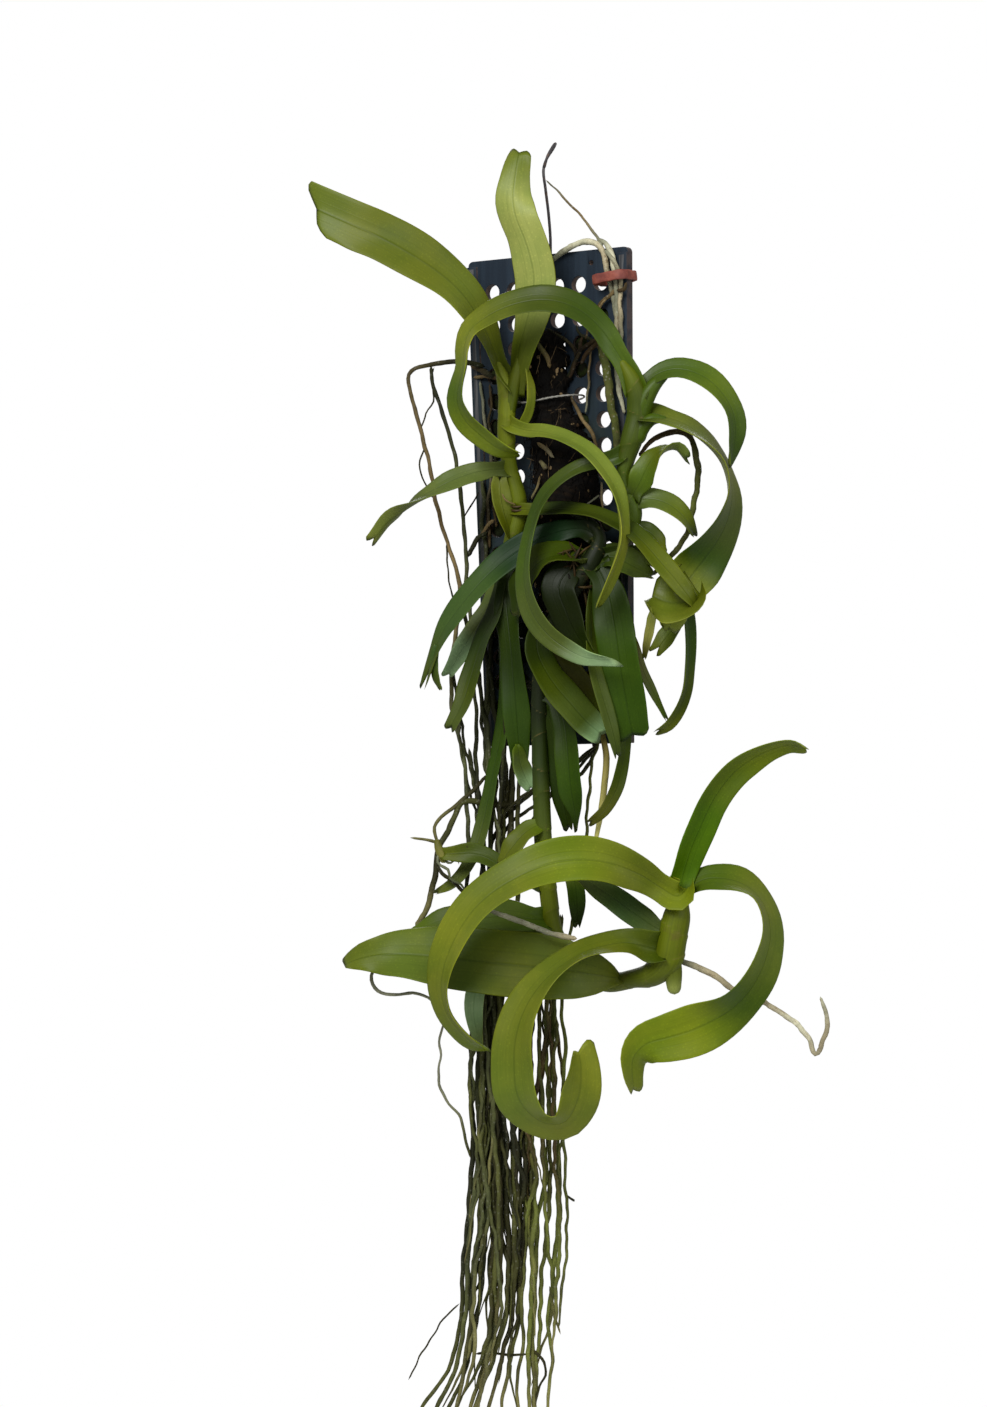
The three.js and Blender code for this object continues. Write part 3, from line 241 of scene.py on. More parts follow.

# %% [markdown]
# ## Colours
#
# Old leaves are olive and young ones are yellow-green. A short palette holds the hues, written
# as they are seen, so they carry painted light and shade: leaves deep in the plant get dark hues
# for the shade that falls on them, and a blade's hues darken where it lies in shade. A helper
# turns them into the linear values that Blender mixes. A blade names a few hues, from its base
# to its tip. They could be painted on an image, but a colour kept at each point needs no picture.

# %% Define the palette
# Gloss adds white light to what is seen, so the surface itself gets this share of a hue
LEAF_LIFT = np.array([0.76, 0.81, 0.34])
ROOT_LIFT = np.array([0.88, 0.86, 0.76])
# Shadow green is painted shade, for leaves and stems deep in the crown
HUES = {
    "dark": "#26330a", "dark olive": "#3c4808", "olive": "#5a6220", "olive light": "#687030",
    "yellowish": "#767c32", "yellow green": "#6b7820", "yellow olive": "#5d6508", "pale": "#959b78",
    "deep": "#445818", "deep dark": "#364806", "fresh": "#54661c", "sage": "#647138",
    "sage dark": "#46532a", "sage grey": "#5a6644", "grass": "#314806", "grass dark": "#243404",
    "blue green": "#3e5539", "silver": "#93aebe", "dry": "#8a8462", "stem yellow": "#70761e",
    "stem green": "#445606", "stem brown": "#565426", "black": "#25280f", "grey green": "#4c5233",
    "moss": "#52562a", "brown": "#4b3c22", "light green": "#5d662c", "tan": "#7e6c4c",
    "beige": "#b3a993", "white": "#c4c4b4", "grey": "#7f8274", "fibre black": "#17120c",
    "fibre brown": "#3c2c1a", "chip": "#8a7658", "shadow green": "#161e08", "leaf brown": "#33320f",
    "teal dark": "#14301f", "umber": "#2c2b0c", "khaki": "#76734a", "sage light": "#727e44",
    "leaf bright": "#4b6a04",
}


def linear(hue):
    """The linear colour of a hue's name or its hex digits."""
    text = HUES.get(hue, hue).lstrip("#")
    parts = [int(text[k:k + 2], 16) / 255 for k in (0, 2, 4)]
    return np.array([c / 12.92 if c <= 0.04045 else ((c + 0.055) / 1.055) ** 2.4 for c in parts])


def blend_hues(hues, t):
    """The colour at share t of a row of hues."""
    colours = [linear(hue) for hue in hues]
    if len(colours) == 1:
        return colours[0]
    place = min(max(t, 0.0), 1.0) * (len(colours) - 1)
    i = min(int(place), len(colours) - 2)
    w = place - i
    w = w * w * (3 - 2 * w)
    return colours[i] * (1 - w) + colours[i + 1] * w


print(len(HUES), "hues")

# %% [markdown]
# ## Shader helpers
#
# Materials are sums and products of masks. A small class wraps a socket, so that masks can be
# written as Python expressions, and one method makes any other node. Linked one by one, each
# sum would take several lines.

# %% Define a shader value
class Value:
    """A number socket on which Python's operators work."""

    def __init__(self, finish, socket):
        self.finish = finish
        self.socket = socket

    def _math(self, operation, first, second):
        made = self.finish.node("ShaderNodeMath", {"operation": operation}, {0: first, 1: second})
        return Value(self.finish, made.outputs[0])

    def __add__(self, other):
        return self._math("ADD", self, other)

    def __radd__(self, other):
        return self._math("ADD", other, self)

    def __sub__(self, other):
        return self._math("SUBTRACT", self, other)

    def __rsub__(self, other):
        return self._math("SUBTRACT", other, self)

    def __mul__(self, other):
        return self._math("MULTIPLY", self, other)

    def __rmul__(self, other):
        return self._math("MULTIPLY", other, self)

    def sine(self):
        return self._math("SINE", self, 0.0)

    def absolute(self):
        return self._math("ABSOLUTE", self, 0.0)

    def step(self, low, high):
        """0 below low and 1 above high, with a soft change between."""
        made = self.finish.node("ShaderNodeMapRange", {"interpolation_type": "SMOOTHSTEP"},
                                {"Value": self, "From Min": low, "From Max": high})
        return Value(self.finish, made.outputs["Result"])


print("shader value ready")


# %% Define a finish
class Finish:
    """One material and the nodes that make it."""

    def __init__(self, name):
        self.material = bpy.data.materials.new(name)
        self.material.use_nodes = True
        self.tree = self.material.node_tree
        self.shader = self.tree.nodes["Principled BSDF"]

    def node(self, kind, settings=None, inputs=None):
        """Makes a node: its settings first, then the values or links of its sockets."""
        made = self.tree.nodes.new(kind)
        for key, value in (settings or {}).items():
            setattr(made, key, value)
        for key, value in (inputs or {}).items():
            self.feed(made.inputs[key], value)
        return made

    def feed(self, socket, value):
        """Links a socket to another, or sets it to a constant."""
        if isinstance(value, Value):
            value = value.socket
        if isinstance(value, bpy.types.NodeSocket):
            self.tree.links.new(value, socket)
        else:
            socket.default_value = value

    def set(self, **inputs):
        """Sets the shader's own sockets; an underscore in a name stands for a blank."""
        for key, value in inputs.items():
            self.feed(self.shader.inputs[key.replace("_", " ")], value)

    def attribute(self, name, output="Fac"):
        made = self.node("ShaderNodeAttribute", {"attribute_name": name})
        return Value(self, made.outputs[output])

    def coordinates(self, kind="Object", scale=(1, 1, 1)):
        place = self.node("ShaderNodeTexCoord").outputs[kind]
        return self.node("ShaderNodeMapping", None, {"Vector": place, "Scale": scale}).outputs[0]

    def noise(self, where, scale, detail=3.0, roughness=0.55, distortion=0.0):
        made = self.node("ShaderNodeTexNoise", None, {
            "Vector": where, "Scale": scale, "Detail": detail, "Roughness": roughness,
            "Distortion": distortion})
        return Value(self, made.outputs["Fac"])

    def cells(self, where, scale):
        """The distance from the nearest of many scattered points."""
        made = self.node("ShaderNodeTexVoronoi", None, {"Vector": where, "Scale": scale})
        return Value(self, made.outputs["Distance"])

    def part(self, vector, axis):
        """One of a vector's three numbers."""
        made = self.node("ShaderNodeSeparateXYZ", None, {0: vector})
        return Value(self, made.outputs[axis])

    def mix(self, factor, first, second, way="MIX"):
        """Mixes two colours, each a socket or three numbers."""
        def colour(value):
            return value if isinstance(value, (Value, bpy.types.NodeSocket)) else (*value, 1.0)
        made = self.node("ShaderNodeMix", {"data_type": "RGBA", "blend_type": way},
                         {0: factor, 6: colour(first), 7: colour(second)})
        return made.outputs[2]

    def vary(self, share, colour, mask, darker, lighter):
        """Multiplies a colour by two tints, between which a mask chooses."""
        return self.mix(share, colour, self.mix(mask, darker, lighter), "MULTIPLY")

    def bump(self, height, distance, strength=1.0):
        """A bump, its distance in metres, which feeds the normal."""
        made = self.node("ShaderNodeBump", None, {
            "Height": height, "Distance": distance, "Strength": strength})
        self.set(Normal=made.outputs[0])


print("finish class ready")

# %% [markdown]
# ## The leaf finish
#
# A leaf is thick, smooth and waxy. Its midrib is a groove with a fainter one on each side,
# and painted shade darkens all three. Its border is thin and lighter, and tiny pale dots and a
# few brown specks lie over it.
# The lines could be cut into the mesh, but a mask read from the distance to the midrib stays
# sharp and needs few faces. The UV map lets fine lines follow the blade round its bends.

# %% Make the leaf finish
MIDRIB_REACH, SHOULDER_REACH, BORDER_REACH = 0.075, 0.36, 0.94   # shares of the half width


def leaf_finish(name, gloss, shine=0.2):
    f = Finish(name)
    place = f.coordinates()
    lines = f.noise(f.coordinates("UV", (3, 64, 1)), 1.0, 2.0)
    clouds = f.noise(place, 42.0, 3.0)
    grain = f.noise(place, 1300.0, 2.0)
    reach = f.attribute("reach")
    midrib = 1 - reach.step(0.0, MIDRIB_REACH)
    shoulder = 1 - (reach - SHOULDER_REACH).absolute().step(0.0, 0.05)
    border = reach.step(BORDER_REACH, 1.0)
    specks = 1 - f.cells(place, 105.0).step(0.03, 0.06)
    rare = f.noise(place, 28.0, 1.0).step(0.6, 0.66)
    dots = 1 - f.cells(place, 620.0).step(0.1, 0.32)
    tint = f.attribute("tint", "Color")
    mottled = f.vary(0.8, tint, clouds.step(0.32, 0.7), (0.82, 0.88, 0.75), (1.22, 1.12, 1.1))
    lined = f.vary(0.45, mottled, lines.step(0.3, 0.7), (0.86, 0.88, 0.84), (1.1, 1.08, 1.05))
    dotted = f.mix(dots * 0.4, lined, (1.5, 1.45, 1.4), "MULTIPLY")
    # Painted shade darkens the midrib's groove and the fainter groove on each side
    groove_shaded = f.mix(midrib * 0.36 + shoulder * 0.12, dotted, (0.35, 0.45, 0.3), "MULTIPLY")
    edged = f.mix(border * 0.7, groove_shaded, (1.9, 1.75, 1.3), "MULTIPLY")
    f.set(Base_Color=f.mix(specks * rare * 0.8, edged, (0.03, 0.02, 0.008)))
    f.set(Roughness=gloss + clouds * 0.14 + grain * 0.06, Specular_IOR_Level=shine)
    f.bump(grain * 0.4 + lines * 0.35 - midrib * 1.6 - shoulder * 0.3, 0.0002, 0.4)
    return f.material


leaf_olive = leaf_finish("waxy olive leaf", 0.36)
leaf_deep = leaf_finish("waxy deep green leaf", 0.33)
leaf_green = leaf_finish("waxy green leaf", 0.34, 0.12)
print("leaf finishes:", leaf_olive.name, leaf_deep.name, leaf_green.name)

# %% [markdown]
# ## The stem finish
#
# A stem is wrapped in the sheaths of its leaves. Each sheath ends in a thin dry rim, below
# which fine lines run down, with brown stains near the nodes. The rims are read from the
# value kept at each point, because a pattern in space wouldn't keep to the sheaths.

# %% Make the stem finish
def stem_finish(name):
    f = Finish(name)
    place = f.coordinates()
    lines = f.noise(f.coordinates("UV", (6, 60, 1)), 1.0, 3.0)
    clouds = f.noise(place, 110.0, 4.0)
    rim = f.attribute("reach")
    tint = f.attribute("tint", "Color")
    lined = f.vary(0.6, tint, lines.step(0.3, 0.7), (0.78, 0.8, 0.74), (1.15, 1.12, 1.05))
    stained = f.mix(clouds.step(0.6, 0.74) * 0.4, lined, (0.09, 0.055, 0.018))
    f.set(Base_Color=f.mix(rim.step(0.45, 0.98) * 0.55, stained, (0.15, 0.11, 0.035)))
    f.set(Roughness=0.42 + clouds * 0.25, Specular_IOR_Level=0.2)
    f.bump(lines * 0.6 + clouds * 0.6, 0.0003, 0.5)
    return f.material


stem_skin = stem_finish("sheathed stem")
print("stem finish:", stem_skin.name)

# %% [markdown]
# ## The root finish
#
# Aerial roots have a spongy coat. It is grey-white where it is dry and green where it is
# damp, with short cross wrinkles, lengthwise cracks and small pale flecks. Noise stretched
# on the UV map gives cracks and wrinkles a direction, which noise in space couldn't. One
# function makes four finishes, which differ in their flecks, cracks and wrinkles.

# %% Make the root finish
def root_finish(name, flecks, crack_colour, wrinkle):
    f = Finish(name)
    place = f.coordinates()
    lengthwise = f.noise(f.coordinates("UV", (30, 7, 1)), 1.0, 4.0, 0.6, 0.4)
    rings = f.noise(f.coordinates("UV", (260, 3, 1)), 1.0, 2.0)
    coat = f.noise(place, 420.0, 4.0)
    patches = f.noise(place, 70.0, 3.0)
    tint = f.attribute("tint", "Color")
    varied = f.vary(0.95, tint, patches.step(0.32, 0.68), (0.6, 0.6, 0.54), (1.26, 1.24, 1.18))
    cracked = f.mix(lengthwise.step(0.56, 0.68) * 0.7, varied, crack_colour)
    pale = f.cells(place, 520.0).step(0.12, 0.3)
    f.set(Base_Color=f.mix((1 - pale) * flecks, cracked, (0.42, 0.42, 0.34)))
    f.set(Roughness=0.62 + coat * 0.25, Specular_IOR_Level=0.25)
    f.bump(coat + lengthwise * 0.8 + rings * wrinkle, 0.0004, 0.7)
    return f.material


root_hanging = root_finish("damp hanging root", 0.12, (0.035, 0.025, 0.01), 0.7)
root_dry = root_finish("dry grey root", 0.35, (0.16, 0.1, 0.045), 1.2)
root_beige = root_finish("dry beige root", 0.25, (0.2, 0.13, 0.07), 1.2)
root_dark = root_finish("dark looped root", 0.12, (0.03, 0.02, 0.01), 0.9)
print("root finishes ready")

# %% [markdown]
# ## Board, wire, band, fibre and twine
#
# The board is blue-black moulded plastic with faint upright streaks and dust, and its hole
# walls are stained brown. The wire is weathered, the band is faded rubber, the pad is matted
# fern fibre, and the twine has the slant of its lay. Photographs of such stuff could be laid
# on instead, but noise in space needs no unwrapped mesh and shows no seam.

# %% Make the board finish
def board_finish():
    f = Finish("blue-black board plastic")
    place = f.coordinates()
    drawn = f.noise(f.coordinates("Object", (420, 420, 16)), 1.0, 3.0)
    dust = f.noise(place, 36.0, 5.0, 0.65)
    fine = f.noise(place, 1400.0, 2.0)
    facing = f.node("ShaderNodeTexCoord").outputs["Normal"]
    wall = 1 - f.part(facing, 1).absolute().step(0.3, 0.75)
    low = 1 - f.part(place, 2).step(-0.15, -0.07)
    bead = f.attribute("bead")
    body = f.mix(drawn.step(0.35, 0.7) * 0.8, (0.007, 0.014, 0.024), (0.013, 0.024, 0.038))
    green = f.mix(low * dust.step(0.35, 0.65) * 0.75, body, (0.012, 0.022, 0.014))
    dusted = f.mix(dust.step(0.56, 0.8) * 0.3, green, (0.06, 0.064, 0.058))
    # The bead's flat top is painted lighter grey: a painted highlight along its ridge, with scuffs
    bead_scuffs_and_highlight = f.mix((bead * 2 - 1).step(0, 1) * 0.8, dusted,
                   f.mix(drawn.step(0.4, 0.6), (0.03, 0.03, 0.032), (0.1, 0.1, 0.1)))
    stained = f.mix(wall * (1 - bead) * f.noise(place, 190.0).step(0.25, 0.6) * 0.85, bead_scuffs_and_highlight,
                    (0.13, 0.085, 0.065))
    f.set(Base_Color=stained, Roughness=0.45 + dust * 0.3, Specular_IOR_Level=0.2)
    f.bump(drawn + fine * 0.6, 0.00012, 0.5)
    return f.material


board_plastic = board_finish()
print("board finish:", board_plastic.name)

# %% Make the wire, band, fibre and twine finishes
def wire_finish():
    f = Finish("weathered wire")
    rust = f.noise(f.coordinates(), 380.0, 4.0)
    f.set(Base_Color=f.mix(rust.step(0.5, 0.68), (0.055, 0.05, 0.052), (0.1, 0.06, 0.04)))
    f.set(Metallic=0.35, Roughness=0.42 + rust * 0.3, Specular_IOR_Level=0.4)
    f.bump(rust, 0.00012, 0.6)
    return f.material


def band_finish():
    f = Finish("faded red-brown rubber")
    place = f.coordinates()
    worn = f.noise(place, 170.0, 4.0)
    lines = f.noise(f.coordinates("Object", (60, 60, 900)), 1.0, 2.0)
    base = f.mix(worn.step(0.35, 0.7), (0.13, 0.026, 0.018), (0.27, 0.07, 0.045))
    f.set(Base_Color=f.mix(lines.step(0.55, 0.75) * 0.35, base, (0.36, 0.17, 0.13)))
    f.set(Roughness=0.46 + worn * 0.25, Specular_IOR_Level=0.35)
    f.bump(lines + worn, 0.00015, 0.6)
    return f.material


def fibre_finish(name, light):
    f = Finish(name)
    place = f.coordinates()
    mat = f.noise(place, 520.0, 5.0, 0.7, 1.2)
    clumps = f.noise(place, 90.0, 3.0)
    tint = f.attribute("tint", "Color")
    base = f.vary(0.9, tint, clumps.step(0.3, 0.7), (0.4, 0.38, 0.36), (1.3, 1.25, 1.15))
    f.set(Base_Color=f.mix(mat.step(0.62, 0.74) * light, base, (0.16, 0.14, 0.1)))
    f.set(Roughness=0.8 + mat * 0.15, Specular_IOR_Level=0.15)
    f.bump(mat * 1.4 + clumps, 0.0009, 0.8)
    return f.material


def twine_finish():
    f = Finish("weathered grey twine")
    uv = f.coordinates("UV")
    lay = (f.part(uv, 0) * 700.0 + f.part(uv, 1) * (4 * math.pi)).sine() * 0.5 + 0.5
    hairs = f.noise(f.coordinates(), 900.0, 3.0)
    f.set(Base_Color=f.mix(lay * 0.6 + hairs * 0.3, (0.13, 0.12, 0.1), (0.45, 0.44, 0.4)))
    f.set(Roughness=0.75 + hairs * 0.2, Specular_IOR_Level=0.2)
    f.bump(lay + hairs * 0.5, 0.00018, 0.7)
    return f.material


wire_metal = wire_finish()
band_rubber = band_finish()
pad_body = fibre_finish("matted fern fibre", 0.12)
pad_hair = fibre_finish("loose fern fibre", 0.2)
twine = twine_finish()
print("small finishes ready")

# %% [markdown]
# ## Leaf blades
#
# A strap leaf widens from a narrow base, keeps its width and narrows to two unequal lobes with
# a notch between them. Its two halves rise from the midrib as a shallow V. Each row of a table
# gives the width that shows, so the blade's turn follows from it: a blade that shows its full
# width faces the viewer, and one that shows none is seen edge on. Negative widths show its back.
#
# The blade is a flattened tube, thick at its midrib and thin at its border, so that it is
# closed. A flat sheet with Solidify would have the same thickness everywhere.

# %% Define the helpers of a leaf blade
LEAF_SIDES = 20
LEAF_RING_GAP = 2.6 * MM
LEAF_HALF_THICK = 0.5 * MM      # at the border; the midrib is thicker
LEAF_WAVE = 0.055               # how far the border waves, as a share of the half width
KEEL_ROUND = 0.2                # how round the fold is along the midrib, likewise


def soft_step(low, high, value):
    """0 below low and 1 above high, with a soft change between."""
    w = np.clip((value - low) / (high - low), 0, 1)
    return w * w * (3 - 2 * w)


def tint_rows(hues, t, sides, lift):
    """The hues along a piece, as an array by ring and side."""
    names = [hue.strip() for hue in hues.split(",")]
    return np.repeat(np.array([blend_hues(names, v) * lift for v in t])[:, None], sides, axis=1)


print("points round each blade:", LEAF_SIDES)


# %% Define a leaf blade
def add_leaf(skin, rows, width, hues, side=1, fold=16, lobes=(1, 1), notch=2, taper=0.38,
             base=0.7, under="", seed=0):
    """A blade along rows of across, up, depth and the width that shows, in grid steps.

    It turns to the given side as it narrows to the eye, and each half rises from the midrib by
    the fold's degrees. The base is wider by one share and the tip is narrower by the taper. The
    lobes and the notch are lengths at the tip. Without hues of its own the back is paler.
    """
    route = drawn_route(rows)
    chance = random.Random(seed)
    rings = max(18, round(route.length / LEAF_RING_GAP))
    places, ways, shown, t = route.line(rings, crowd_ends=0.3)
    full = width * (0.42 + 0.58 * soft_step(0, 0.3, t) - taper * soft_step(0.72, 1, t))
    sheath = 1 + base * (1 - soft_step(0.0, 0.12, t))
    turn = side * np.arccos(np.clip(shown / full, -1, 1))
    for _ in range(3):
        turn[1:-1] = 0.25 * turn[:-2] + 0.5 * turn[1:-1] + 0.25 * turn[2:]
    facing = np.array(TOWARDS_EYE) - (ways @ np.array(TOWARDS_EYE))[:, None] * ways
    facing /= np.linalg.norm(facing, axis=1)[:, None]
    sideways = np.cross(ways, facing)
    normal = facing * np.cos(turn)[:, None] + sideways * np.sin(turn)[:, None]
    across = np.cross(normal, ways)

    angle = np.linspace(0, 2 * math.pi, LEAF_SIDES, endpoint=False)
    offset, lift = -np.cos(angle), np.sin(angle)
    wide = np.abs(offset)
    lens = np.sign(lift) * np.abs(lift) ** 0.6 * (1.7 - 0.8 * wide) * LEAF_HALF_THICK
    ends = np.clip(np.minimum(t / 0.03, (1 - t) / 0.035), 0, 1) ** 0.5
    half = full * sheath * GRID_STEP / 2
    hollow = np.sqrt(wide ** 2 + KEEL_ROUND ** 2) - KEEL_ROUND
    keel = math.tan(math.radians(fold)) * hollow / 0.82
    clasp = 1 + 1.6 * (1 - soft_step(0.0, 0.14, t))
    wave_count, wave_start = chance.uniform(2.2, 3.8), chance.uniform(0, 6.3)
    turns = t[:, None] * wave_count * 6.28 + wave_start + 1.6 * np.sign(offset)
    wave = LEAF_WAVE * np.sin(turns) * wide ** 3
    rise = half[:, None] * (keel * clasp[:, None] + wave) + lens * ends[:, None]
    lobe = lobes[1] + (lobes[0] - lobes[1]) * (offset + 1) / 2
    lobe = lobe - notch * np.clip(1 - wide / 0.5, 0, 1)
    lobe = lobe * GRID_STEP - half[-1] * 0.35 * np.clip((wide - 0.6) / 0.4, 0, 1) ** 2
    reach = soft_step(1 - 0.9 * full[-1] * GRID_STEP / route.length, 1, t)[:, None] * lobe
    points = (places[:, None, :] + across[:, None, :] * (offset * half[:, None])[..., None]
              + normal[:, None, :] * rise[..., None] + ways[:, None, :] * reach[..., None])

    top = tint_rows(hues, t, LEAF_SIDES, LEAF_LIFT)
    pale = tint_rows(under or "pale", t, LEAF_SIDES, LEAF_LIFT)
    back = pale if under else 0.7 * top + 0.3 * pale
    tints = np.where((lift < -0.01)[None, :, None], back, top) * chance.uniform(0.94, 1.06)
    skin.wrap(points, tints, np.repeat(wide[None, :], len(t), axis=0))


print("leaf blade ready")

# %% [markdown]
# ## Stems and roots
#
# Both are tubes. The ring directions are carried along the line without twisting. A stem gets
# overlapping sheaths: the radius grows up to each dry rim and then steps in again. A root gets
# a lumpy radius and wanders a little. A curve with a bevel has one radius for each ring, and
# here the radius also changes round the ring, for tilted rims and lumps.

# %% Define a tube
def ring_directions(ways):
    """Two directions across the line at each ring, carried along it without a twist."""
    first = np.cross(ways[0], [0.31, -0.94, 0.12])
    firsts, seconds = [], []
    for way in ways:
        first = first - way * np.dot(first, way)
        first = first / np.linalg.norm(first)
        firsts.append(first)
        seconds.append(np.cross(way, first))
    return np.array(firsts), np.array(seconds)


def add_tube(skin, line, radius, tints, reach):
    """radius and reach by ring and side; both ends are drawn to a point."""
    places, ways, _, _ = line
    sides = radius.shape[1]
    angle = np.linspace(0, 2 * math.pi, sides, endpoint=False)
    first, second = ring_directions(ways)
    passed = np.concatenate([[0], np.cumsum(np.linalg.norm(np.diff(places, axis=0), axis=1))])
    near_end = np.minimum(passed, passed[-1] - passed) / np.maximum(radius.max(axis=1), 1e-6)
    radius = radius * np.sqrt(1 - (1 - np.clip(near_end, 0, 1)) ** 2)[:, None]
    points = (places[:, None, :]
              + first[:, None, :] * (radius * np.cos(angle))[..., None]
              + second[:, None, :] * (radius * np.sin(angle))[..., None])
    skin.wrap(points, tints, reach)


print("tube ready")

# %% Define a stem and a root
STEM_SIDES = 16
STEM_RING_GAP = 0.7 * MM
SHEATH_LENGTH = 12.5 * MM
SHEATH_RIM = 0.86               # the share of a sheath at which its dry rim starts


def add_stem(skin, rows, hues, seed=0):
    """A sheathed stem along rows of across, up, depth and radius."""
    route = drawn_route(rows)
    rings = max(10, round(route.length / STEM_RING_GAP))
    line = route.line(rings)
    angle = np.linspace(0, 2 * math.pi, STEM_SIDES, endpoint=False)
    count = line.shares * route.length / SHEATH_LENGTH + seed * 0.37
    tilt = 0.22 * np.cos(angle)[None, :] * np.cos(math.pi * count)[:, None]
    share = (count[:, None] + tilt) % 1.0
    radius = line.sizes[:, None] * GRID_STEP * (0.97 + 0.05 * share ** 2)
    rim = np.clip((share - SHEATH_RIM) / (1 - SHEATH_RIM), 0, 1)
    tints = tint_rows(hues, line.shares, STEM_SIDES, 1.15 * LEAF_LIFT)
    tints = tints * (0.9 + 0.18 * share)[..., None]
    add_tube(skin, line, radius, tints, rim)


def add_root(skin, rows, hues, sides=8, wander=0.3 * MM, seed=0, ring_gap=1.9 * MM):
    """A lumpy root along rows of across, up, depth and radius."""
    route = drawn_route(rows, wander, seed)
    chance = np.random.default_rng(seed)
    rings = max(8, round(route.length / ring_gap))
    line = route.line(rings)
    lumps = chance.normal(0, 0.05, rings + 1)
    lumps[1:-1] = (lumps[:-2] + 2 * lumps[1:-1] + lumps[2:]) / 3
    knots = chance.normal(0, 0.05, (rings + 1, sides))
    swell = 1 + 1.3 * lumps[:, None] + knots
    radius = np.maximum(line.sizes, 0.3)[:, None] * GRID_STEP * swell
    shade = 1 + chance.normal(0, 0.07, rings + 1)
    tints = tint_rows(hues, line.shares, sides, ROOT_LIFT) * shade[:, None, None]
    add_tube(skin, line, radius, tints, np.zeros_like(radius))


print("stem and root ready")

# %% [markdown]
# ## The left leafy stem
#
# Its two top leaves are large: one leans to the left and the other stands up with its pale
# back to the viewer. The leaves could be copies of one blade, bent along curves. Each is
# written out instead, because every leaf bends, twists and ends in its own way.

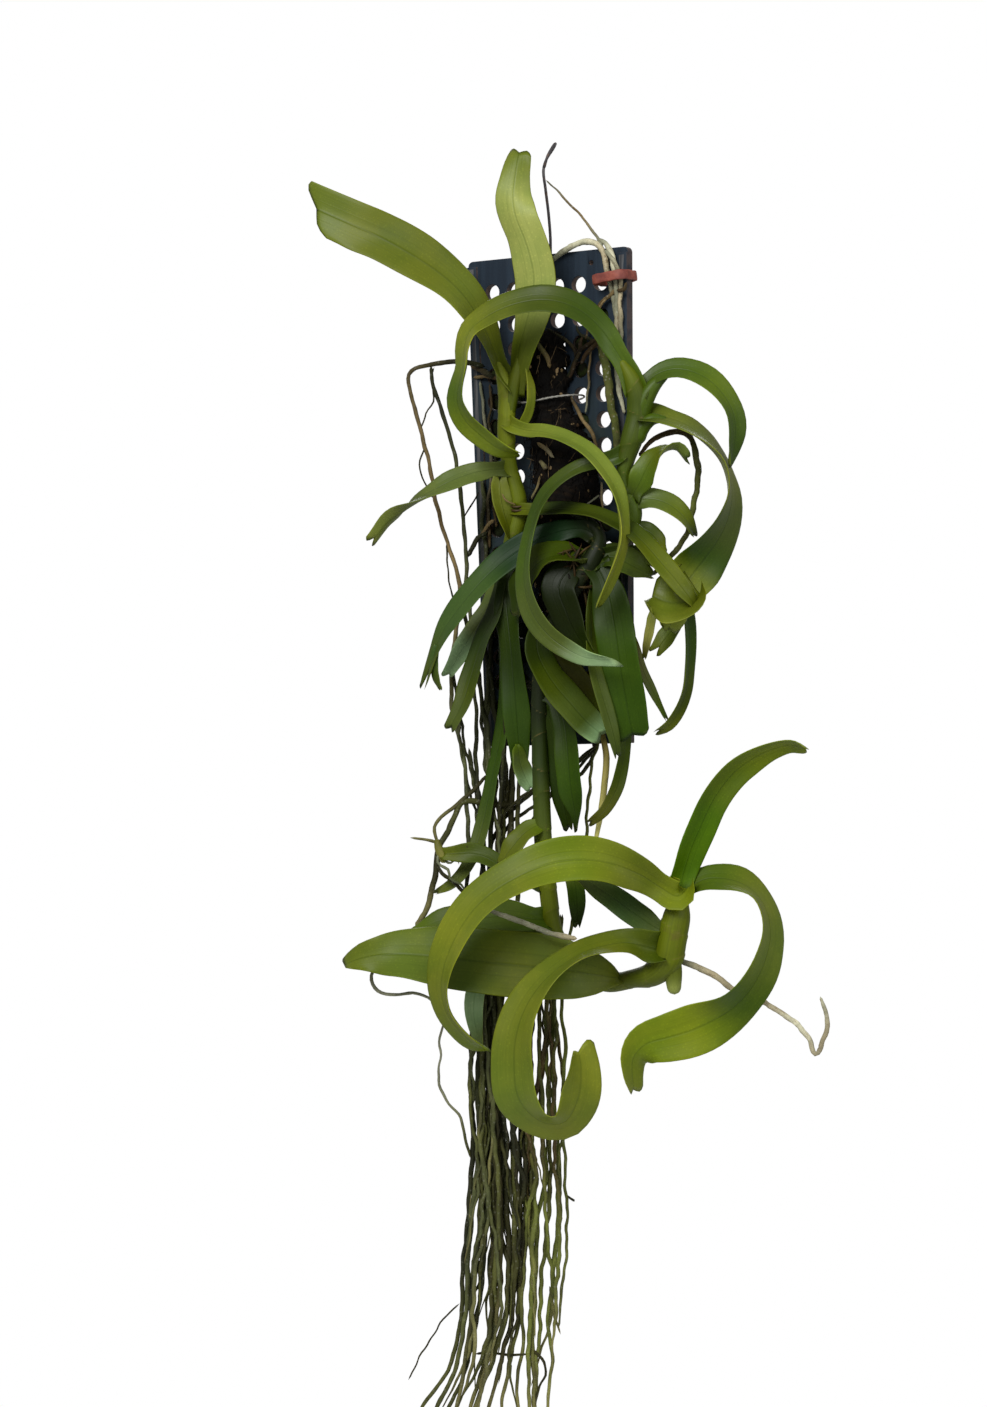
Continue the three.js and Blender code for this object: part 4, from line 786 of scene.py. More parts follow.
# %% Write the left stem's routes
LEFT_STEM = [
    (-32, -125, 6, 2), (-28, -134, 5.5, 4), (-25.8, -145, 5, 5), (-26, -168, 4, 5.2),
    (-24, -185, 2, 4.4), (-20, -200, 2, 5), (-19, -212, 1, 5.4), (-22, -225, 0, 5.2),
    (-26, -242, -2, 4.4)
]
LEFT_LEAVES = [
    # The broad top leaf, which leans to the left
    dict(width=30, fold=12, lobes=(0, 22), taper=0.12,
         hues="olive, olive, olive light, olive, olive, olive light", rows=[
        (-22, -143, 4, 7), (-29, -132, 5, 9), (-34, -120, 7, 11), (-39, -108, 9, 14),
        (-45, -97, 11, 18), (-52, -87, 13, 22), (-61, -78, 14, 25), (-73, -69, 15, 27),
        (-86, -61, 15, 28), (-101, -53, 14, 28.5), (-113, -47.5, 12.5, 28),
        (-126.5, -41.5, 9, 27)]),
    # The upright leaf, seen from behind
    dict(width=24, fold=10, lobes=(3, 6), base=0,
         hues="olive light, olive, olive light",
         under="olive, olive light, pale, pale, pale, olive light", rows=[
        (-21, -145, 6, -8), (-20, -132, 9, -9), (-18, -118, 14, -13), (-14, -103, 18, -19),
        (-11, -90, 22, -22), (-10, -78, 24, -23), (-12, -66, 26, -23), (-16, -53, 27, -21),
        (-20, -43, 27, -20), (-22, -33, 26, -21), (-21, -20, 24, -19), (-19, -8, 21, -13)]),
    # A small new leaf in its axil
    dict(width=6, lobes=(1, 0), hues="yellowish, yellowish", rows=[
        (-22, -165, 6, 3), (-16, -159, 9, 5), (-12.5, -149, 12, 5), (-12.5, -139, 13, 4.5),
        (-14.5, -129, 13, 2)]),
    # The leaf that crosses the pad to the right
    dict(width=13, side=-1, fold=22, lobes=(0, 1),
         hues="yellowish, sage light, sage light, yellowish, olive light", rows=[
        (-25, -161, 6, 5), (-16, -164, 14, 8), (-4, -166, 28, 8.5), (8, -170, 42, 9),
        (20, -177, 54, 9.5), (29, -187, 62, 9), (36, -199, 66, 8), (39, -212, 68, 6),
        (39.5, -226, 68, 5.5), (36, -240, 67, 5.5), (31, -253, 65, 5), (25, -265, 62, 2)]),
    # A leaf that twists on its way left
    dict(width=14, fold=14, lobes=(4, 6), notch=4,
         hues="dark olive, sage grey, sage grey, dark olive, olive", rows=[
        (-24, -186, 3, 6), (-36, -187, 5, 10), (-48, -190, 7, 12), (-58, -194, 9, 11.5),
        (-67, -199, 10, 9), (-75, -203.5, 11, 5), (-80, -206.5, 11, 1), (-87, -211, 10, -5),
        (-94, -216, 9, -7.5), (-101, -225, 7, -6.5)]),
    # The long leaf that crosses to the right
    dict(width=14, side=-1, fold=18, lobes=(1, 2), base=0.2,
         hues="yellow olive, dark, dark olive, dark olive, yellow olive, olive", rows=[
        (-22, -209, 3, 6), (-12, -210, 12, 7), (0, -210, 22, 7.5), (12, -210.5, 33, 8),
        (24, -212.5, 44, 8), (35, -217, 53, 8), (45, -222.5, 60, 9.5), (53, -230, 64, 11),
        (61, -239, 66, 12), (69, -248, 67, 11), (76, -257, 67, 9), (82, -266, 65, 3)]),
    # The leaf that hangs down
    dict(width=16, fold=14, lobes=(3, 2), hues="dark, grass dark, grass dark, grass, grass", rows=[
        (-25, -236, 0, 6), (-26, -250, 4, 12), (-25.5, -263, 8, 14), (-24, -276, 10, 13),
        (-22.5, -290, 12, 11.5), (-21.5, -304, 12, 13), (-20.5, -318, 11, 15.5),
        (-19.5, -333, 9, 16), (-18.5, -347, 6, 13), (-18, -357, 4, 7)]),
    # A leaf behind it
    dict(width=14, fold=20, lobes=(3, 3),
         hues="dark, dark, grass dark, dark olive, sage dark", rows=[
        (-27, -239, -2, 5), (-29, -256, 2, 7), (-32, -270, 6, 8), (-38, -282, 9, 9),
        (-42, -294, 11, 9.5), (-46, -307, 12, 10), (-50, -319, 12, 10), (-57, -333, 11, 7)]),
    # A shorter leaf behind, with a bluish tip
    dict(width=13, lobes=(2, 5),
         hues="sage, sage grey, sage grey, sage grey, silver, silver", rows=[
        (-27, -240, -3, 4), (-31, -255, -5, 8), (-36, -267, -5, 10), (-44, -279, -4, 11),
        (-51, -290, -4, 11), (-58, -302, -5, 7)]),
    # The long narrow leaf that ends in a thin tip
    dict(width=11, lobes=(0, 2), hues="dark, grass dark, grass, grass, sage dark, olive", rows=[
        (-26, -240, -3, 4), (-27, -262, -4, 6), (-26, -285, -5, 6), (-25.5, -305, -6, 7),
        (-26.5, -325, -6, 7), (-29, -342, -5, 7), (-32.5, -358, -4, 7), (-35.5, -374, -3, 7.5),
        (-39, -390, -2, 8), (-43.5, -404, -1, 8), (-50, -416, 0, 7), (-58, -424, 0, 6),
        (-66, -428.5, 0, 2)]),
    # A small leaf end below
    dict(width=12, side=-1, lobes=(3, 1), base=-0.6, hues="fresh, sage grey, silver", rows=[
        (-20, -343, 10, 5), (-19, -353, 11, 9), (-16, -361, 12, 10.5), (-12, -368, 12, 9)]),
    # An old sheath on the stem
    dict(width=12, fold=24, notch=5, base=0,
         hues="olive, yellow olive, olive light, olive light", rows=[
        (-23, -229, 2, 3), (-26, -219, 5, 8), (-29, -207, 6, 11), (-30, -197, 5, 10.5),
        (-29.5, -189, 4, 8)]),
]
print(len(LEFT_LEAVES), "leaves on the left stem")


# %% Make the left leafy stem
def make_leafy_stem(name, stems, leaves, material, slot, dress):
    """Stems, given with their hues, and leaves in one piece, to which dress adds the rest."""
    skin = Skin()
    for number, (rows, hues) in enumerate(stems):
        add_stem(skin, rows, hues, seed=number)
    stem_faces = len(skin.bm.faces)
    for number, shape in enumerate(leaves):
        add_leaf(skin, seed=number + 11 * len(stems), **shape)
    dress(skin)
    skin.bm.faces.ensure_lookup_table()
    for face in skin.bm.faces[:stem_faces]:
        face.material_index = 1
    piece = skin.finish(name + "_blades", material, [name], slot)
    piece.data.materials.append(stem_skin)
    return piece


FOOT_RINGS, FOOT_SIDES = 24, 12
BETWEEN_LINES = 0.6             # a reach at which the leaf finish draws no midrib or border


def add_leaf_feet(skin, feet, hues):
    """Folded leaf bases, which taper out of the stem in the leaf's own finish."""
    for rows in feet:
        line = drawn_route(rows).line(FOOT_RINGS)
        radius = np.repeat(line.sizes[:, None] * GRID_STEP, FOOT_SIDES, axis=1)
        tints = tint_rows(hues, line.shares, FOOT_SIDES, LEAF_LIFT)
        add_tube(skin, line, radius, tints, np.full_like(radius, BETWEEN_LINES))


def dress_left_stem(skin):
    """The upright leaf's base, and two turns of brown string with a loose end."""
    add_leaf_feet(skin, [[(-26, -158, 4.5, 4.6), (-23, -144, 6, 4.4), (-20.5, -133, 8.5, 3.6),
                          (-18.5, -121, 12, 1.6)]], "yellow olive, olive, olive light")
    for drop in (0.0, 2.2):
        rows = [(-24, -207 - drop, 5, 0.5), (-21, -208 - drop, 8, 0.7),
                (-15, -207 - drop, 8, 0.7), (-12, -206 - drop, 4, 0.5)]
        add_root(skin, rows, "brown, fibre brown", sides=6, wander=0)
    rows = [(-20, -207, 8, 0.5), (-26, -204, 9, 0.5), (-29, -200, 8, 0.3)]
    add_root(skin, rows, "tan", sides=6)


make_leafy_stem("leafy_stem_left",
                [(LEFT_STEM, "yellowish, stem yellow, yellow olive, yellow olive, dark olive")],
                LEFT_LEAVES, leaf_olive, "leaf_olive", dress_left_stem)

# %% [markdown]
# ## The right leafy stem
#
# Its top leaf crosses the whole plant and twists down on the left. The broad leaf on the
# right folds over at its end, where its yellowish back shows. The folded end is a blade of
# its own, because one smooth blade can't turn back so sharply.

# %% Write the right stem's routes
RIGHT_STEM = [
    (39, -124, 49, 2.2), (44.5, -133, 48.5, 4.4), (48, -143, 47.5, 5.8), (49, -155, 46, 6.4),
    (46, -168, 46, 6.4), (42.5, -180, 45, 5.2), (41, -190, 45, 4.2), (42, -200, 45, 4.4),
    (46, -210, 45, 5.4), (45, -218, 44, 5), (41.2, -229, 44, 3.4)
]
RIGHT_LEAVES = [
    # The long leaf that crosses to the left and twists down
    dict(width=19, lobes=(1, 2),
         hues="stem green, deep, deep dark, dark olive, olive, "
              "yellowish, deep, yellow green, yellow green", rows=[
        (48, -143, 46, 8), (44, -132, 48, 12), (37, -120, 50, 13.5), (28, -107, 52, 14),
        (18, -98, 52, 15), (7, -92.5, 52, 15.5), (-5, -90.5, 51, 16), (-17, -92, 48, 15.5),
        (-28, -95.5, 45, 15), (-38, -101, 42, 14), (-46, -108, 40, 10), (-49, -118, 38, 7),
        (-49.5, -128, 37, 4.5), (-52, -138, 36, 7), (-53, -148, 34, 10), (-49, -158, 32, 11.5),
        (-40, -167, 29, 11), (-30, -174, 26, 8.5), (-19, -177, 24, 2)]),
    # The leaf that arches right
    dict(width=16, side=-1, fold=18, lobes=(1, 0),
         hues="dark olive, deep, fresh, deep, grass", rows=[
        (51, -145, 47, 6), (55, -137, 48, 7), (62, -132, 50, 10), (71, -130, 53, 12.5),
        (80, -131.5, 55, 13), (89, -136, 56, 13), (97, -144, 57, 12.5), (102.5, -154, 57, 11),
        (104, -164, 56, 9.5), (103, -173, 55, 8), (100.5, -185, 54, 1.5)]),
    # The broad leaf that folds down at its end
    dict(width=29, side=-1, fold=10, lobes=(4, 3),
         hues="dark olive, olive light, olive light, olive, sage dark, "
              "grass, yellowish, yellowish", rows=[
        (50, -158, 46, 6), (58, -157, 48, 8), (67, -158.5, 50, 9.5), (76, -162, 52, 10),
        (84, -167.5, 53, 9.5), (91, -174, 54, 8), (97, -182, 54, 5), (100.5, -192, 54, 5),
        (101.5, -203, 53, 8.5), (99, -215, 52, 14), (94, -226, 51, 20), (87, -237, 50, 25),
        (79, -248, 50, 28), (71, -259, 52, 27), (68, -268, 54, 22), (67, -276, 54, 10)]),
    # A short leaf below it
    dict(width=14, side=-1, fold=18, lobes=(1, 0),
         hues="dark olive, sage grey, olive light, dark olive", rows=[
        (43, -207, 46, 7), (52, -204, 48, 11), (60, -204.5, 50, 12), (68, -208, 51, 11),
        (75, -214.5, 51, 9.5), (81, -225, 50, 3)]),
    # A small leaf whose tip curls over
    dict(width=15, side=-1, lobes=(6, 1), hues="dark olive, fresh, olive, deep", rows=[
        (45, -203, 47, 8), (50, -194, 50, 14), (54, -187, 52, 13.5), (59, -180, 54, 9),
        (65.5, -175, 55, 2.5), (71, -174.5, 55, -4.5), (76, -179, 55, -5)]),
    # The leaf that crosses the board and comes forward
    dict(width=14, fold=18, lobes=(0, 12), notch=0,
         hues="deep dark, sage dark, deep dark, deep, sage dark, sage dark, silver", rows=[
        (42, -178, 46, 5), (34, -180.5, 46, 7), (25, -182.5, 45, 8), (15, -186, 44, 8),
        (6, -192, 42, 7.5), (-1, -199, 40, 7), (-6.5, -208, 38, 5.5), (-10, -218, 38, 5),
        (-13, -230, 40, 6.5), (-15, -243, 44, 8), (-14.5, -255, 49, 9), (-11, -267, 54, 10.5),
        (-4, -278, 59, 11), (6, -287, 63, 11), (17, -293, 66, 9.5), (30, -294.5, 68, 5)]),
    # The last leaf at its foot
    dict(width=11, side=-1, hues="dark, dark olive, yellow olive", rows=[
        (44, -220, 45, 5), (52, -221, 47, 9), (58, -225, 48, 10), (63, -234, 48, 5)]),
    # The folded end of the broad leaf
    dict(width=38, fold=34, taper=0.2, base=0,
         hues="yellow olive, olive, olive light, olive", rows=[
        (85, -258, 54, 8), (79, -262, 57, 22), (71, -263.5, 59, 32), (63, -262, 59, 34),
        (56, -259, 58, 24)]),
    # A withered strip that hangs from it
    dict(width=6, base=0, hues="yellowish, dry, leaf brown", rows=[
        (58, -264, 55, 3), (57, -273, 56, 5), (55, -284, 55, 4.5), (53, -294, 54, 2)]),
]
print(len(RIGHT_LEAVES), "leaves on the right stem")

# %% Make the right leafy stem
def dress_right_stem(skin):
    """The bases of the two leaves that arch to the right."""
    feet = [[(49, -160, 46, 5.5), (52.5, -148, 47.5, 5.4), (58, -139, 49, 4.2),
             (66, -132.5, 50, 1.8)],
            [(47, -172, 46, 5.5), (51, -163, 47.5, 4.8), (57, -158, 49, 3.6), (66, -158, 50, 1.6)]]
    add_leaf_feet(skin, feet, "stem green, stem green, deep")


make_leafy_stem("leafy_stem_right",
                [(RIGHT_STEM, "yellow olive, dark olive, dark olive, stem green, dark olive")],
                RIGHT_LEAVES, leaf_deep, "leaf_deep_green", dress_right_stem)

# %% [markdown]
# ## The long leafy stem
#
# This stem hangs from the crown behind the others, bends at the bottom and turns up again.
# Its young end carries the large lower leaves. The leaves are written in four groups, so that
# each group can be compared with the photograph by itself.

# %% Write the long stem's routes
LONG_STEM = [
    (11, -210, 22.6, 2.8), (18, -214, 30, 3), (27, -224, 37, 3.5), (24, -236, 40, 5.5),
    (14, -252, 38, 5), (2, -272, 32, 4.8), (-5, -295, 27, 4.8), (-7, -318, 24, 4.8),
    (-7, -345, 22, 4.6), (-6, -370, 22, 5), (-5, -398, 22, 5.2), (-2, -428, 22, 5.2),
    (2, -452, 22, 5), (14, -470, 24, 5), (30, -479, 28, 5.4), (46, -477, 38, 5.4),
    (58, -474, 46, 7.2), (66, -466, 51, 8.4), (69, -453, 53, 8.2), (71.5, -440, 54, 7.6),
    (75, -427, 53, 2.6)
]
LONG_STEM_STUB = [
    (67.5, -460, 50, 5.4), (69, -473, 50, 5.4), (70, -486, 49, 3.6)
]
OLD_SHOOT_STUB = [
    (-66, -397, 7, 1.6), (-64, -404, 8, 2.6), (-61, -411, 8, 2)
]
OLD_SHEATH = [(28, -334, 33, 1.5), (31, -350, 34, 1.9), (30, -366, 35, 1.9), (28, -382, 35, 1.8),
              (25, -398, 34, 1.2)]
OLD_ROOTLETS = [
    [(-64, -403, 8, 0.7), (-65, -411, 10, 0.8), (-59, -415, 11, 0.8), (-58, -420, 11, 0.7),
     (-51, -424, 11, 0.7), (-49, -433, 11, 0.4)],
    [(-62, -409, 8, 0.8), (-58, -411, 10, 0.7), (-54, -408, 11, 0.6), (-53, -412, 12, 0.3)]]
print(len(LONG_STEM), "places along the long stem")

# %% Write the leaves of the crown
LONG_STEM_LEAVES = [
    # An old leaf at the crown, painted dark for the shade that falls on it there
    dict(width=20, fold=12, lobes=(2, 2),
         hues="shadow green, shadow green, shadow green, dark", rows=[
        (20, -238, 38, 8), (9, -245, 40, 16), (4, -254, 42, 19), (8, -266, 43, 18),
        (14, -279, 44, 13), (22, -290, 44, 5)]),
    # The blue-green leaf with a forked tip
    dict(width=17, fold=14, lobes=(13, 15), notch=13,
         hues="shadow green, teal dark, teal dark, blue green, blue green, sage dark", rows=[
        (26, -225, 37, 8), (18, -220.5, 32, 11), (7, -221.5, 27, 12), (-5, -226, 23, 14.5),
        (-16, -231.5, 21, 16), (-27, -239, 20, 15), (-37, -248, 20, 14), (-46, -258, 19, 13),
        (-54, -268.5, 17, 11.5), (-61, -279, 15, 9), (-66, -290, 12, 6), (-69, -299, 10, 4)]),
    # A short leaf that points right
    dict(width=18, side=-1, fold=22, hues="dark, sage dark, sage dark", rows=[
        (25, -238, 39, 9), (33, -237, 41, 13), (42, -240, 42, 16), (50, -244.5, 42, 13),
        (57, -248, 41, 4)]),
    # A leaf that hangs down the board, its top painted dark for the shade there
    dict(width=23, fold=10, lobes=(2, 4), taper=0.1,
         hues="dark, grass dark, grass, grass, grass", rows=[
        (25, -240, 41, 10), (30, -250, 45, 16), (33.5, -262, 48, 20), (36, -276, 50, 22),
        (38, -290, 51, 22), (40, -304, 51, 22), (42.5, -318, 50, 22), (44.5, -330, 49, 21),
        (46, -337, 48, 20)]),
    # A leaf with a torn, bluish end
    dict(width=20, side=-1, fold=12, lobes=(4, 3), taper=0.15,
         hues="shadow green, dark, dark, dark olive, dark olive, "
              "sage dark, sage dark, silver", rows=[
        (-3, -270, 32, 8), (-9, -281, 34, 12), (-9, -291, 36, 14), (-4, -302, 38, 16),
        (3, -312, 40, 17), (11, -321, 41, 18), (19, -330, 41, 17), (27, -337, 41, 15)]),
    # A narrow leaf between them
    dict(width=10, side=-1, hues="dark, dark olive, sage dark, sage dark", rows=[
        (26, -246, 38, 5), (22, -266, 42, 6), (22, -283, 44, 7), (23.5, -298, 52, 8),
        (27, -312, 54, 8), (31, -325, 54, 8), (34.5, -337, 53, 7.5), (37, -350, 50, 4)]),
    # The leaf that hangs at the right edge
    dict(width=12, side=-1, fold=20, notch=4,
         hues="dark, sage dark, dark, grass, dark olive, olive", rows=[
        (28, -236, 40, 5), (38, -233.5, 39, 8), (48, -234, 37, 9), (58, -238.5, 36, 9),
        (67, -246, 36, 9), (73, -257, 37, 8), (76.5, -270, 38, 7), (77.5, -285, 39, 6),
        (77, -300, 39, 6), (75.5, -313, 38, 6), (71, -325, 37, 6), (66, -332, 36, 6),
        (59, -336, 35, 3)]),
    # A short leaf beside it
    dict(width=12, lobes=(3, 4), notch=5, hues="olive light, sage, olive light", rows=[
        (75, -262, 37, 5), (71, -274, 34, 9), (66, -282, 33, 10), (60, -289, 33, 8)]),
    # A thin brownish leaf
    dict(width=6, side=-1, hues="deep dark, stem brown, deep dark", rows=[
        (28, -250, 40, 3), (38, -268, 42, 4), (46, -285, 43, 5), (51, -300, 43, 5.5),
        (57, -313, 42, 5), (65, -329, 41, 2)]),
]
print(len(LONG_STEM_LEAVES), "leaves so far")

# %% Write the leaves of the hanging stem
LONG_STEM_LEAVES += [
    # A dark leaf on the hanging stem
    dict(width=15, fold=20, lobes=(1, 3), notch=0, taper=0.8,
         hues="dark, grass dark, grass, grass dark", rows=[
        (-6, -312, 24, 6), (2, -318, 29, 9), (7, -328, 33, 12), (9, -342, 35, 13),
        (10, -356, 36, 13.5), (11.5, -370, 36, 13), (13, -380, 35, 8), (14, -391, 34, 2)]),
    # A narrow leaf that curls to the left
    dict(width=9, side=-1, hues="dark, sage dark, deep dark, dark olive, stem brown", rows=[
        (26, -248, 38, 4), (34, -270, 40, 5), (39, -290, 42, 6), (41, -310, 42, 6),
        (41.5, -330, 42, 6.5), (41, -345, 42, 6.5), (39, -358, 42, 7), (36, -370, 42, 7.5),
        (30, -381, 42, 7.5), (21, -388, 42, 4)]),
    # A small leaf further down
    dict(width=13, lobes=(1, 2), hues="fresh, olive, olive", rows=[
        (-4, -388, 23, 6), (-10, -391, 26, 9), (-16, -395, 28, 10), (-22, -402, 29, 11),
        (-28, -411, 29, 5)]),
    # A leaf towards the old shoot
    dict(width=12, fold=20, hues="dark, sage dark, sage dark, olive", rows=[
        (-5, -424, 22, 6), (-18, -420, 20, 8), (-30, -413, 16, 8), (-38, -408, 13, 10),
        (-46, -405.5, 11, 11.5), (-54, -405.5, 10, 11), (-63, -406, 9, 7)]),
    # A small leaf near the lowest bend
    dict(width=10, fold=20, hues="olive, olive light, grass, dark", rows=[
        (-3, -400, 24, 4), (6, -404, 30, 7), (11, -413, 33, 9), (13.5, -424, 34, 10),
        (14.5, -436, 34, 9.5), (15, -447, 34, 4)]),
    # A bluish leaf below the bend
    dict(width=11, lobes=(1, 2), hues="sage dark, sage grey, sage grey, silver, sage grey", rows=[
        (0, -448, 22, 4), (-14, -452, 18, 8), (-28, -460, 14, 10), (-38, -470, 12, 11),
        (-43, -482, 11, 11), (-44.5, -495, 10, 10.5), (-43, -506, 10, 8), (-40, -515, 10, 3)]),
    # A leaf close to the stem, painted dark for the shade that it lies in
    dict(width=13, lobes=(1, 2), hues="dark, grass dark, dark", rows=[
        (-5, -322, 24, 5), (1, -332, 24, 10), (3.5, -346, 23, 11), (5, -360, 22, 12),
        (7, -376, 21, 11), (10, -391, 20, 5)]),
]
print(len(LONG_STEM_LEAVES), "leaves so far")

# %% Write the young shoot's leaves
LONG_STEM_LEAVES += [
    # The shoot's leaf that points up and right
    dict(width=19, fold=20, lobes=(1, 2), base=-0.3,
         hues="dark olive, leaf bright, leaf bright, fresh, yellow green, yellow green", rows=[
        (72, -442, 53, 4), (73, -431, 57, 12), (74, -419, 57, 14), (78, -404, 60, 15.5),
        (84, -390, 62, 16.5), (90, -377, 63, 17), (97, -366, 63, 16.5), (105, -357, 62, 15),
        (115, -350, 61, 13), (126, -345, 60, 10.5), (137, -343, 58, 8), (145, -345.5, 57, 3)]),
    # The long leaf that arches over to the left
    dict(width=26, fold=18,
         hues="yellow green, olive, yellow green, olive light, "
              "yellowish, olive light, yellow green", rows=[
        (79, -424, 57, 4), (72, -430, 61, 13), (62, -425, 62, 19), (51, -418, 68, 21),
        (40, -413.5, 72, 22), (28, -410.5, 74, 23), (15, -409.5, 75, 24), (2, -411, 75, 24),
        (-10, -415, 75, 22.5), (-22, -421, 75, 21), (-33, -428, 74, 19.5), (-43, -437, 73, 18),
        (-51, -448, 72, 16.5), (-57, -460, 70, 15.5), (-61, -472, 68, 14), (-62, -484, 64, 12),
        (-59, -496, 60, 9.5), (-52, -506, 56, 8), (-44, -513, 52, 7), (-36, -516.5, 50, 2)]),
    # The broad leaf that curls down on the right
    dict(width=29, side=-1, fold=12, lobes=(7, 2), base=-0.3,
         hues="dark olive, deep, olive light, sage, deep, "
              "yellow green, yellow green, yellowish", rows=[
        (72.5, -438, 54, 5), (79, -426, 56, 10), (87, -421, 58, 13), (97, -420.5, 61, 14.5),
        (107, -423, 64, 13), (115.5, -429, 66, 8), (121.5, -439, 68, 12), (123.5, -451, 69, 15),
        (121.5, -463, 70, 16.5), (117, -475, 70, 18), (110, -485.5, 70, 20), (101, -494.5, 69, 24),
        (90, -501.5, 68, 28), (78, -507, 67, 29.5), (66, -510.5, 66, 30), (54, -514, 65, 27),
        (46, -522, 63, 16), (45, -531, 61, 12), (46, -538, 59, 8)]),
    # The leaf that hangs and hooks up again
    dict(width=27, lobes=(3, 6), notch=4, taper=0.15,
         hues="dark olive, olive, olive light, olive light, sage, olive light, yellowish", rows=[
        (64, -462, 52, 9), (54, -459, 54, 12.5), (42, -457, 58, 12.5), (30, -459, 62, 11),
        (18, -463, 66, 10.5), (7, -469.5, 70, 10.5), (-3, -478, 73, 12), (-11, -488, 75, 15),
        (-17, -500, 76, 18), (-20.5, -514, 76, 22), (-21, -528, 75, 24), (-19.5, -542, 73, 24),
        (-14, -551, 70, 19), (-4, -558, 68, 13), (6, -558, 68, 16), (12, -551, 70, 20.5),
        (15.5, -541, 73, 23), (16, -530, 76, 20), (15, -519, 79, 14)]),
    # The broad dull leaf that points left
    dict(width=38, fold=10, lobes=(3, 9), notch=0, taper=0.6, base=-0.5,
         hues="olive, sage, olive, sage dark, sage, olive light", rows=[
        (40, -478, 36, 5), (31, -475.5, 42, 22), (18, -473.5, 46, 29), (4, -472, 48, 33),
        (-10, -470.5, 49, 36), (-25, -469, 49, 37), (-42, -467.5, 48, 35.5), (-58, -466, 46, 33),
        (-74, -464.5, 43, 29.5), (-90, -463.5, 40, 25), (-104, -464.5, 37, 18),
        (-113, -467.5, 34, 6)]),
    # A leaf behind it
    dict(width=22, fold=14, lobes=(1, 2), hues="deep, sage dark, sage dark, fresh", rows=[
        (-3, -444, 22, 8), (-14, -443, 28, 14), (-28, -442, 31, 18), (-42, -443, 32, 19),
        (-56, -446, 31, 18), (-68, -449, 30, 14), (-81, -453, 28, 5)]),
    # A narrow leaf behind the shoot
    dict(width=15, fold=14, hues="sage grey, blue green, sage grey", rows=[
        (67, -451, 52, 8), (58, -447, 50, 12), (48, -441, 50, 14), (37, -433, 50, 14),
        (26, -426, 50, 12), (14, -418, 50, 5)]),
]
print(len(LONG_STEM_LEAVES), "leaves so far")

# %% Write the leaves behind them
LONG_STEM_LEAVES += [
    # An olive-brown leaf behind them
    dict(width=24, fold=12, hues="shadow green, leaf brown, leaf brown, dark olive", rows=[
        (-4.6, -277, 30, 10), (1, -288, 30, 17), (4.6, -297.5, 30, 21), (13.7, -311, 30, 22),
        (22.8, -322.6, 30, 19), (28.5, -328, 29, 12)]),
    # A leaf base in the crown
    dict(width=24, fold=20, hues="dark, dark olive, dark olive, dark, dark", rows=[
        (20, -241, 41, 5), (12, -237, 40, 9), (3, -236.5, 38, 12), (-6, -240, 34, 14),
        (-13, -249, 30, 14), (-17, -260, 28, 10), (-19, -270, 27, 5)]),
    # The second point of the forked leaf
    dict(width=6, fold=12, lobes=(0, 0), base=0, hues="blue green, sage dark", rows=[
        (-66, -286, 13, 4), (-67, -297, 12.5, 5), (-65.5, -306, 12, 3.5), (-63, -312.5, 11, 1.5)]),
]
print(len(LONG_STEM_LEAVES), "leaves on the long stem")

# %% Make the long leafy stem
DRY_BITS = 34


def add_dry_bits(skin):
    """Short dry root and sheath ends in the crown, and curled rootlets on the old shoot."""
    chance = random.Random(5)
    brown = ["brown", "fibre brown", "fibre black", "fibre black"]
    for number in range(DRY_BITS):
        a, up, depth = chance.uniform(6, 28), chance.uniform(-260, -232), chance.uniform(35, 44)
        turn, length = chance.uniform(0, 6.3), chance.uniform(4, 9)
        da, dup = length * math.cos(turn), length * math.sin(turn)
        rows = [(a - da, up - dup, depth - 2, 0.4), (a, up + chance.uniform(-1, 1), depth, 0.7),
                (a + da, up + dup, depth + chance.uniform(-3, 3), 0.3)]
        add_root(skin, rows, chance.choice(brown), sides=6, seed=number)
    for rows in OLD_ROOTLETS:
        add_root(skin, rows, "grey, grey green", sides=6, wander=0)


# Its first hues, where the stem lies deep in the crown, are painted shade
make_leafy_stem("leafy_stem_long",
                [(LONG_STEM, 5 * "shadow green, " + "dark, dark olive, yellow olive, yellow olive, "
                  "olive, olive, yellow olive, yellow olive"),
                 (LONG_STEM_STUB, "stem yellow, olive, pale"),
                 (OLD_SHOOT_STUB, "stem brown, dry"), (OLD_SHEATH, "tan, beige")],
                LONG_STEM_LEAVES, leaf_green, "leaf_green", add_dry_bits)

# %% [markdown]
# ## Roots
#
# Two thick roots come over the board's rim and down its front. Dark roots arch over its left
# edge and hang far below it, where they cling together. The main strands follow chosen
# routes. Between them run strands that wander from one neighbour to the next. Chance could
# scatter all of them, but then the outline would no longer be this plant's.

